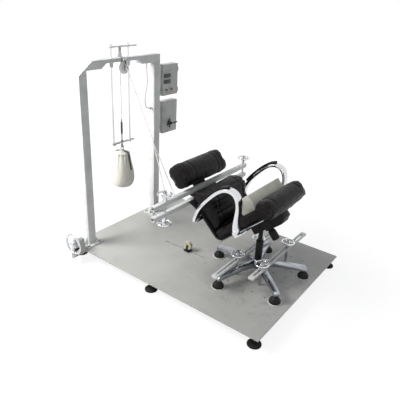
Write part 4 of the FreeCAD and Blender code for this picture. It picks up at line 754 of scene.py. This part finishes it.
sheave_low, sheave_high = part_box("top_sheave")
sheave_axle = (sheave_low + sheave_high) / 2
rod_low, rod_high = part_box("back_clamp_rods")
bar_low, bar_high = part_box("back_clamp_bars")
rope_low, rope_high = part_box("weight_rope")
grip = Vector(((bar_low.x + bar_high.x) / 2, 0, bar_high.z - 0.015))
knot = grip + Vector((-0.214, 0, 0.346))
knot.y = on_platform(0, 268, 0).y
rope_radius = 0.0035
rope_reach = 0.035
span = knot - sheave_axle
leave_angle = math.atan2(span.z, span.x) + math.acos(rope_reach / math.hypot(span.x, span.z))
arc = []
arc_step = (math.pi - leave_angle) / 6
for number in range(6):
    turn = math.pi - arc_step * (number + 0.5)
    reach = rope_reach / math.cos(arc_step / 2)
    arc.append(sheave_axle + Vector((math.cos(turn), 0, math.sin(turn))) * reach)
weight_top = sheave_axle + Vector((-rope_reach, 0, 0))
leave = sheave_axle + Vector((math.cos(leave_angle), 0, math.sin(leave_angle))) * rope_reach
weight_foot = Vector((weight_top.x + 0.001, sheave_axle.y, rope_low.z + 0.001))
weight_rope, places = laid_rope("weight_rope_laid", [weight_top, (weight_top + weight_foot) / 2, weight_foot],
                                rope_radius)
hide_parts("weight_rope")
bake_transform(weight_rope)
print("weight rope", round(line_length(places), 3), "m")
pull_rope, places = laid_rope("pull_rope_laid", [weight_top] + arc + [leave, (leave + knot) / 2, knot],
                              rope_radius)
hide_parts("pull_rope")
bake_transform(pull_rope)
print("pull rope", round(line_length(places), 3), "m")
strand_feet = {"pull_strand_rod": Vector((grip.x, on_platform(0, 148, 0).y, rod_high.z + 0.0035)),
               "pull_strand_bar": Vector((grip.x, on_platform(0, 250, 0).y, bar_high.z + 0.0035))}
for name, foot in strand_feet.items():
    strand, places = laid_rope(name, [knot, (knot + foot) / 2, foot], rope_radius)
    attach(strand, "chair_top")
    print(name, round(line_length(places), 3), "m")

# %% [markdown]
# ## The air hose
# A pale plastic hose hangs in one soft bend from the fitting under the beam to the
# fitting on the far column. It stands still, so it rides on the frame.

# %% Air hose
hose_radius = 0.004
hose_route = [(95.5, 722, 1368), (95.5, 722, 1322), (95.5, 727, 1270), (95.5, 729, 1215), (95.5, 716, 1165),
              (95.5, 702, 1112), (95.5, 704, 1062), (95.5, 726, 1030), (95.5, 758, 1021)]
hose = smooth_line("air_hose_tube", [on_platform(*place) for place in hose_route])
hose.data.bevel_depth = hose_radius
hose.data.bevel_resolution = 3
hose.data.materials.append(finishes["hose_plastic"])
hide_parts("air_hose")
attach(hose, "frame")

# %% [markdown]
# ## Cushions
# A cushion is not a block: its leather is sewn tight at the edges and foam pushes it
# out between them. The solid is remeshed into an even skin, which a cloth simulation
# inflates from inside for twenty frames. How far a point may travel is capped, so that
# the cushion keeps to its place on the chair. Seams are pressed in afterwards.


# %% Stuffed pieces
def stuffed(name, node, cap, voxel=0.006, shrink=0.004, pressure=4.0):
    """A cushion blown up from a node's solid, as smooth leather."""
    piece = copy_node(node, name)
    skin = piece.modifiers.new("skin", "REMESH")
    skin.mode = "VOXEL"
    skin.voxel_size = voxel
    bpy.ops.object.modifier_apply(modifier="skin")
    mesh = piece.data
    for vertex, inward in zip(mesh.vertices, [vertex.normal.copy() for vertex in mesh.vertices]):
        vertex.co -= inward * shrink
    rest = [vertex.co.copy() for vertex in mesh.vertices]
    cloth = piece.modifiers.new("air", "CLOTH")
    cloth.settings.use_pressure = True
    cloth.settings.uniform_pressure_force = pressure
    cloth.settings.effector_weights.gravity = 0
    cloth.settings.quality = 4
    cloth.point_cache.frame_start = 1
    cloth.point_cache.frame_end = 20
    for number in range(1, 21):
        scene.frame_set(number)
    blown = piece.evaluated_get(bpy.context.evaluated_depsgraph_get())
    moved = [vertex.co.copy() for vertex in blown.data.vertices]
    piece.modifiers.remove(cloth)
    scene.frame_set(1)
    for vertex, before, after in zip(mesh.vertices, rest, moved):
        step = after - before
        if step.length > cap:
            step *= cap / step.length
        vertex.co = before + step
    return piece


def finish_cushion(piece, node, smooth=3):
    """Smooth a cushion, give it leather, and let it ride on the chair."""
    bpy.ops.object.select_all(action="DESELECT")
    bpy.context.view_layer.objects.active = piece
    piece.select_set(True)
    ease = piece.modifiers.new("ease", "SMOOTH")
    ease.factor = 0.5
    ease.iterations = smooth
    bpy.ops.object.modifier_apply(modifier="ease")
    finer = piece.modifiers.new("finer", "SUBSURF")
    finer.levels = 1
    finer.render_levels = 1
    bpy.ops.object.modifier_apply(modifier="finer")
    bpy.ops.object.shade_smooth()
    piece.data.materials.clear()
    piece.data.materials.append(finishes["black_leather"])
    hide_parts(node)
    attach(piece, "chair_top")
    print(piece.name, len(piece.data.polygons), "faces")


def press_seam(piece, distance, depth, width):
    """Push the leather in along a line, given each point's distance from it."""
    normals = [vertex.normal.copy() for vertex in piece.data.vertices]
    for vertex, outward in zip(piece.data.vertices, normals):
        away = distance(level(vertex.co), outward)
        vertex.co -= outward * depth * math.exp(-(away / width) ** 2)


# %% [markdown]
# ## The seat cushion
# Three seams run along each side of the seat, and two more and a cross seam part its
# top. The load block presses on the seat, so the leather below it is held flat.

# %% Seat cushion
block_x = (0.035, 0.173)
block_y = (-0.195, 0.225)
block_foot = 0.1183 - 0.002
seat = stuffed("seat_cushion_leather", "seat_cushion", cap=0.013, shrink=0.003)
for row in (0.066, 0.082, 0.098):
    press_seam(seat, lambda place, way: place.z - row if abs(place.y) > 0.2 else 1, 0.0035, 0.0045)
press_seam(seat, lambda place, way: (abs(place.y) - 0.165) if place.z > 0.1 else 1, 0.006, 0.007)
press_seam(seat, lambda place, way: place.x - 0.232 if place.z > 0.1 else 1, 0.004, 0.006)
for vertex in seat.data.vertices:
    place = level(vertex.co)
    below_block = block_x[0] < place.x < block_x[1] and block_y[0] < place.y < block_y[1]
    if below_block and place.z > block_foot:
        place.z = block_foot
        vertex.co = leant(place)
finish_cushion(seat, "seat_cushion")

# %% [markdown]
# ## The back cushion
# The back has an upright seam at each side and three level seams across its front.

# %% Back cushion
back = stuffed("back_cushion_leather", "back_cushion", cap=0.012, shrink=0.008)
press_seam(back, lambda place, way: (abs(place.y) - 0.15) if way.dot(seat_way) > 0.2 else 1, 0.006, 0.007)
for row in (0.215, 0.285, 0.345):
    press_seam(back, lambda place, way: place.z - row if way.dot(seat_way) > 0.1 else 1, 0.005, 0.007)
finish_cushion(back, "back_cushion")

# %% [markdown]
# ## The headrest
# The headrest is a fat roll with a seam near each end.

# %% Headrest
head = stuffed("headrest_leather", "headrest", cap=0.012, shrink=0.004)
press_seam(head, lambda place, way: abs(place.y) - 0.13, 0.005, 0.006)
finish_cushion(head, "headrest")

# %% [markdown]
# ## The weight bag
# The bag is a canvas tube filled with loose weight. Low down the filling rounds it out,
# and towards the neck the cloth gathers into upright folds under the tie. A circle is
# extruded up the profile ring by ring, each scaled to its own radius, and the folds are
# then pressed in by code.

# %% Weight bag
bag_profile = [(0.03, 0.002), (0.056, 0.004), (0.072, 0.014), (0.083, 0.032), (0.0885, 0.055), (0.0895, 0.08),
               (0.087, 0.115), (0.081, 0.15), (0.074, 0.185), (0.067, 0.218), (0.061, 0.246), (0.057, 0.266),
               (0.0555, 0.277), (0.0535, 0.281), (0.036, 0.284), (0.020, 0.287), (0.0125, 0.291), (0.011, 0.297)]
bag_foot = Vector((bag_middle.x, bag_middle.y, bag_low.z))
bpy.ops.object.select_all(action="DESELECT")
bpy.ops.mesh.primitive_circle_add(vertices=96, radius=bag_profile[0][0], fill_type="NGON",
                                  location=bag_foot + Vector((0, 0, bag_profile[0][1])))
bag = bpy.context.object
bag.name = "weight_bag_canvas"
bpy.ops.object.transform_apply(location=True)
bpy.ops.object.mode_set(mode="EDIT")
for (radius, rise), (wider, higher) in zip(bag_profile, bag_profile[1:]):
    bpy.ops.mesh.extrude_region_move(TRANSFORM_OT_translate={"value": (0, 0, higher - rise)})
    bpy.ops.transform.resize(value=(wider / radius, wider / radius, 1),
                             center_override=bag_foot + Vector((0, 0, higher)))
bpy.ops.object.mode_set(mode="OBJECT")
shape = bmesh.new()
shape.from_mesh(bag.data)
bmesh.ops.recalc_face_normals(shape, faces=shape.faces)
bmesh.ops.triangulate(shape, faces=[face for face in shape.faces if len(face.verts) > 4])
shape.to_mesh(bag.data)
shape.free()
finer = bag.modifiers.new("finer", "SUBSURF")
finer.levels = 2
finer.render_levels = 2
bpy.ops.object.modifier_apply(modifier="finer")
for vertex in bag.data.vertices:
    offset = vertex.co - bag_foot
    turn = math.atan2(offset.y, offset.x)
    high = offset.z / bag_profile[-1][1]
    out = Vector((offset.x, offset.y, 0))
    gather = max(0.0, high - 0.55) / 0.45
    folds = math.cos(13 * turn + 1.3 * math.sin(2 * turn)) * 0.6 + math.cos(21 * turn + 2) * 0.4
    slack = noise.noise(Vector((math.cos(turn) * 1.8, math.sin(turn) * 1.8, offset.z * 9)))
    fold = folds * 0.0055 * gather ** 1.3 + slack * 0.0035 * min(1, high * 3)
    if out.length > 0.008:
        vertex.co += out.normalized() * (fold - 0.0012)
bpy.ops.object.shade_smooth()
bag.data.materials.append(finishes["bag_canvas"])
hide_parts("weight_bag")
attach(bag, "bag")
print("bag", len(bag.data.polygons), "faces")

# %% [markdown]
# ## The bag's ring, tie and straps
# A steel ring hangs in the carriage's eye, and the neck is tied below it with a few
# turns of cord. The top edge is a rolled hem, and two dark straps of webbing run up
# the bag's sides and over the closed mouth to the tie. A ray cast from outside finds
# where the cloth lies, so that the straps follow its folds.

# %% Bag ring and tie
ring_middle = Vector((bag_middle.x, bag_middle.y, bag_high.z - 0.0175))
bpy.ops.object.select_all(action="DESELECT")
bpy.ops.mesh.primitive_torus_add(major_radius=0.014, minor_radius=0.0035, major_segments=40, minor_segments=12,
                                 location=ring_middle, rotation=(0, math.pi / 2, 0))
ring = bpy.context.object
ring.name = "bag_ring"
bpy.ops.object.transform_apply(location=True, rotation=True)
bpy.ops.object.shade_smooth()
ring.data.materials.append(finishes["zinc_steel"])
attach(ring, "bag")
for number in range(3):
    bpy.ops.object.select_all(action="DESELECT")
    bpy.ops.mesh.primitive_torus_add(major_radius=0.0135, minor_radius=0.0022, major_segments=32, minor_segments=8,
                                     location=bag_foot + Vector((0, 0, 0.2905 + 0.0036 * number)),
                                     rotation=(0.05 * number, 0.04, 0))
    tie = bpy.context.object
    tie.name = "bag_tie_%d" % number
    bpy.ops.object.transform_apply(location=True, rotation=True)
    bpy.ops.object.shade_smooth()
    tie.data.materials.append(finishes["rope_fibre"])
    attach(tie, "bag")
print("ring at", [round(value, 3) for value in ring_middle])

# %% Bag straps and hem
strap_way = math.radians(10)
strap_half = 0.009
strap_gap = 0.0006
strap_thick = 0.0018
for side in (-1, 1):
    out = Vector((math.cos(strap_way), math.sin(strap_way), 0)) * side
    across = Vector((-out.y, out.x, 0))
    line = []
    for high in (0.150, 0.170, 0.190, 0.210, 0.230, 0.248, 0.264, 0.274):
        outside = bag_foot + Vector((0, 0, high)) + out * 0.2
        line.append((bag.ray_cast(outside, -out)[1] + out * strap_gap, out))
    for reach, high in ((0.0560, 0.2825), (0.0380, 0.2870), (0.0205, 0.2900), (0.0150, 0.2925)):
        line.append((bag_foot + Vector((0, 0, high)) + out * reach, Vector((0, 0, 1))))
    shape = bmesh.new()
    rows = [[shape.verts.new(place + across * wide + way * thick)
             for wide, thick in ((strap_half, 0), (-strap_half, 0), (-strap_half, strap_thick),
                                 (strap_half, strap_thick))]
            for place, way in line]
    for below, above in zip(rows, rows[1:]):
        for number in range(4):
            after = (number + 1) % 4
            shape.faces.new((below[number], below[after], above[after], above[number]))
    shape.faces.new(rows[0][::-1])
    shape.faces.new(rows[-1])
    bmesh.ops.recalc_face_normals(shape, faces=shape.faces)
    mesh = bpy.data.meshes.new("bag_strap")
    shape.to_mesh(mesh)
    shape.free()
    strap = bpy.data.objects.new("bag_strap_right" if side > 0 else "bag_strap_left", mesh)
    scene.collection.objects.link(strap)
    strap.data.materials.append(finishes["webbing"])
    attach(strap, "bag")
bpy.ops.object.select_all(action="DESELECT")
bpy.ops.mesh.primitive_torus_add(major_radius=0.0555, minor_radius=0.0034, major_segments=64, minor_segments=10,
                                 location=bag_foot + Vector((0, 0, 0.274)))
hem = bpy.context.object
hem.name = "bag_hem"
hem.scale = (1, 1, 1.5)
bpy.ops.object.transform_apply(location=True, scale=True)
bpy.ops.object.shade_smooth()
hem.data.materials.append(finishes["bag_canvas"])
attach(hem, "bag")
print("two straps and a hem of", len(hem.data.polygons), "faces")

# %% [markdown]
# ## Small hardware
# Screws, welds, seams and a lock are what tells the eye how large a machine is. Every
# helper below makes a plain shape with the usual add operators, rounds it with a Bevel
# modifier and joins the copies, so that each kind of hardware is one object.


# %% Hardware helpers
def dress(piece, paint, body, angle=35):
    """Smooth a finished piece, give it its finish and let it ride on a body."""
    bpy.ops.object.select_all(action="DESELECT")
    bpy.context.view_layer.objects.active = piece
    piece.select_set(True)
    bpy.ops.object.transform_apply(location=True, rotation=True, scale=True)
    bpy.ops.object.shade_smooth_by_angle(angle=math.radians(angle))
    piece.data.materials.clear()
    piece.data.materials.append(finishes[paint])
    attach(piece, body)
    return piece


def joined(name, pieces):
    """Several meshes as one object."""
    bpy.ops.object.select_all(action="DESELECT")
    for piece in pieces:
        piece.select_set(True)
    bpy.context.view_layer.objects.active = pieces[0]
    if len(pieces) > 1:
        bpy.ops.object.join()
    pieces[0].name = name
    return pieces[0]


def barrel(place, way, radius, high, sides=24, edge=0.0004):
    """A short cylinder with rounded rims, standing on a place."""
    bpy.ops.object.select_all(action="DESELECT")
    way = Vector(way).normalized()
    turn = way.to_track_quat("Z", "Y").to_euler()
    bpy.ops.mesh.primitive_cylinder_add(vertices=sides, radius=radius, depth=high, rotation=turn,
                                        location=Vector(place) + way * high / 2)
    piece = bpy.context.object
    bpy.ops.object.transform_apply(location=True, rotation=True)
    rim = piece.modifiers.new("rim", "BEVEL")
    rim.width = edge
    rim.segments = 2
    rim.limit_method = "ANGLE"
    rim.angle_limit = math.radians(50)
    bpy.ops.object.modifier_apply(modifier="rim")
    return piece


def bar(low, high, edge=0.0005):
    """A box between two corners, with rounded edges."""
    low, high = Vector(low), Vector(high)
    bpy.ops.object.select_all(action="DESELECT")
    bpy.ops.mesh.primitive_cube_add(size=1, location=(low + high) / 2, scale=high - low)
    piece = bpy.context.object
    bpy.ops.object.transform_apply(location=True, scale=True)
    rim = piece.modifiers.new("rim", "BEVEL")
    rim.width = edge
    rim.segments = 2
    bpy.ops.object.modifier_apply(modifier="rim")
    return piece


def screw(place, way, radius):
    """A pan head screw: a domed disc with a crossed slot let into it."""
    head = barrel(place, way, radius, radius * 0.55, sides=20, edge=radius * 0.28)
    way = Vector(way).normalized()
    side = way.orthogonal().normalized()
    crown = Vector(place) + way * radius * 0.5
    slots = []
    for number in range(2):
        along = Matrix.Rotation(math.pi / 4 + number * math.pi / 2, 4, way) @ side
        across = way.cross(along)
        bpy.ops.object.select_all(action="DESELECT")
        bpy.ops.mesh.primitive_cube_add(size=1, location=crown)
        blade = bpy.context.object
        blade.data.transform(Matrix((along * radius * 1.1, across * radius * 0.2, way * radius * 0.3)).transposed()
                             .to_4x4())
        bpy.ops.object.transform_apply(location=True)
        slots.append(blade)
    blades = joined("blades", slots)
    trim = head.modifiers.new("slot", "BOOLEAN")
    trim.operation = "DIFFERENCE"
    trim.solver = "EXACT"
    trim.use_self = True
    trim.object = blades
    bpy.ops.object.select_all(action="DESELECT")
    bpy.context.view_layer.objects.active = head
    head.select_set(True)
    bpy.ops.object.modifier_apply(modifier="slot")
    bpy.data.objects.remove(blades)
    return head


def weld(start, end, radius=0.0028):
    """A weld bead: overlapping flat drops along a line, never quite even."""
    start, end = Vector(start), Vector(end)
    count = max(3, round((end - start).length / (radius * 1.1)))
    drops = []
    shape = bmesh.new()
    for number in range(count + 1):
        centre = start.lerp(end, number / count)
        size = radius * (1 + 0.16 * math.sin(number * 2.4))
        bmesh.ops.create_icosphere(shape, subdivisions=1, radius=size, matrix=Matrix.Translation(centre))
    mesh = bpy.data.meshes.new("weld")
    shape.to_mesh(mesh)
    shape.free()
    piece = bpy.data.objects.new("weld", mesh)
    scene.collection.objects.link(piece)
    return piece


# %% [markdown]
# ## On the control boxes
# The lower box has a cover held by four screws. The upper box has a door with a small
# lock and two dark counters, whose unlit figures can just be seen: each figure is seven
# thin strokes let into the dark window.

# %% Control boxes
low_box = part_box("lower_box")
face_x = low_box[1].x
places = [(face_x - 0.0008, y, z) for y in (low_box[0].y + 0.012, low_box[1].y - 0.012)
          for z in (low_box[0].z + 0.014, low_box[1].z - 0.014)]
dress(joined("cover_screws", [screw(place, (1, 0, 0), 0.0042) for place in places]), "zinc_steel",
      "frame")
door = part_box("upper_door")
door_face = door[0].x + 0.003
lock_place = Vector((door_face, door[0].y + 0.016, (door[0].z + door[1].z) / 2 - 0.03))
lock = joined("door_lock", [barrel(lock_place - Vector((0.0006, 0, 0)), (1, 0, 0), 0.009, 0.0022),
                            barrel(lock_place, (1, 0, 0), 0.0062, 0.0048),
                            bar(lock_place + Vector((0.0035, -0.0052, -0.0012)),
                                lock_place + Vector((0.0062, 0.0052, 0.0012)), 0.0003)])
dress(lock, "zinc_steel", "door")
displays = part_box("counter_displays")
segments = {0: (0, 0.9), 1: (0.42, 0.45), 2: (0.42, -0.45), 3: (0, -0.9), 4: (-0.42, -0.45),
            5: (-0.42, 0.45), 6: (0, 0)}
glass_x = displays[1].x
figures = []
for row in range(2):
    middle_z = displays[1].z - 0.0155 - 0.046 * row
    for digit in range(4):
        middle_y = displays[0].y + 0.016 + 0.016 * digit
        for number, (side, height_step) in segments.items():
            flat = number in (0, 3, 6)
            half_y, half_z = (0.0030, 0.0006) if flat else (0.0006, 0.0030)
            y = middle_y + side * 0.0095
            z = middle_z + height_step * 0.0076
            figures.append(bar((glass_x - 0.0008, y - half_y, z - half_z), (glass_x + 0.0002, y + half_y, z + half_z),
                               0.0001))
dress(joined("display_figures", figures), "figure_red", "door")
print(len(places), "cover screws, a lock and the counters' figures")

# %% [markdown]
# ## Welds
# The columns are welded to their base plates and to the beam. A weld bead is many small
# drops in a row, so it is built from overlapping balls along a line.

# %% Welds
column_x = (platform_left + 0.070, platform_left + 0.121)
column_width = 0.066
base_plate_top = 0.0955
column_y = {"near_column": on_platform(0, 60, 0).y, "far_column": on_platform(0, 781, 0).y}
beam_joint_z = {"near_column": 1.347, "far_column": 1.375}
beads = []
for node, near in column_y.items():
    for y in (near, near + column_width):
        beads.append(weld((column_x[0], y, base_plate_top), (column_x[1], y, base_plate_top)))
    for x in column_x:
        beads.append(weld((x, near, base_plate_top), (x, near + column_width, base_plate_top)))
    joint_z = beam_joint_z[node]
    for x in column_x:
        beads.append(weld((x, near + 0.002, joint_z), (x, near + 0.064, joint_z), 0.0016))
print(len(beads), "weld beads")
dress(joined("column_welds", beads), "white_paint", "frame", angle=80)

# %% [markdown]
# ## On the chair
# A bright strip runs along the lower edge of the seat at each side, and each arm is
# fixed at its foot by a domed cap.


# %% Seat strip and arm caps
def chair_box(low, high, edge):
    """A rounded box that leans back with the chair, from level corners."""
    piece = bar(low, high, edge)
    for vertex in piece.data.vertices:
        vertex.co = leant(vertex.co)
    return piece


strips = [chair_box((-0.21, side * 0.2225 - 0.0015, 0.0435), (0.20, side * 0.2225 + 0.0015, 0.0490), 0.0008)
          for side in (-1, 1)]
dress(joined("seat_strips", strips), "polished_alloy", "chair_top")
caps = []
for side in (-1, 1):
    spot = leant(Vector((0.030, side * 0.3255, 0.062)))
    outward = Vector((0, side, 0))
    caps.append(barrel(spot - outward * 0.002, outward, 0.0135, 0.0065, edge=0.0028))
dress(joined("arm_caps", caps), "chrome", "chair_top")
print(len(strips), "strips and", len(caps), "arm caps")

# %% [markdown]
# ## Piping
# Piping is a thin round welt sewn round both ends of the headrest. The headrest is cut
# by an upright plane, and a closed curve through the cut's points becomes a thin tube.


# %% Piping
def piping(name, piece, plane_y, radius):
    """A welt round a cushion, where an upright plane along the machine meets it."""
    shape = bmesh.new()
    shape.from_mesh(piece.data)
    cut_line = bmesh.ops.bisect_plane(shape, geom=shape.verts[:] + shape.edges[:] + shape.faces[:],
                                      plane_co=(0, chair_pivot.y + plane_y, 0), plane_no=(0, 1, 0))["geom_cut"]
    middle = Vector()
    spots = [vertex.co.copy() for vertex in cut_line if isinstance(vertex, bmesh.types.BMVert)]
    for spot in spots:
        middle += spot / len(spots)
    spots.sort(key=lambda spot: math.atan2((spot - middle).z, (spot - middle).x))
    shape.free()
    count = 40
    picked = [spots[number * len(spots) // count] for number in range(count)]
    data = bpy.data.curves.new(name, "CURVE")
    data.dimensions = "3D"
    welt = data.splines.new("NURBS")
    welt.points.add(count - 1)
    for point, spot in zip(welt.points, picked):
        point.co = (*spot, 1)
    welt.order_u = 3
    welt.use_cyclic_u = True
    data.resolution_u = 4
    data.bevel_depth = radius
    data.bevel_resolution = 2
    curve = bpy.data.objects.new(name, data)
    scene.collection.objects.link(curve)
    bpy.ops.object.select_all(action="DESELECT")
    bpy.context.view_layer.objects.active = curve
    curve.select_set(True)
    bpy.ops.object.convert(target="MESH")
    return bpy.context.object


welts = [piping("head_welt", head, side * 0.19, 0.0028) for side in (-1, 1)]
headrest_welts = dress(joined("headrest_welts", welts), "black_leather", "chair_top", angle=60)
print("welts of", len(headrest_welts.data.polygons), "faces")

# %% [markdown]
# ## Colour
# The Standard view shows each colour as it is written.

# %% Finish
scene.view_settings.view_transform = "Standard"
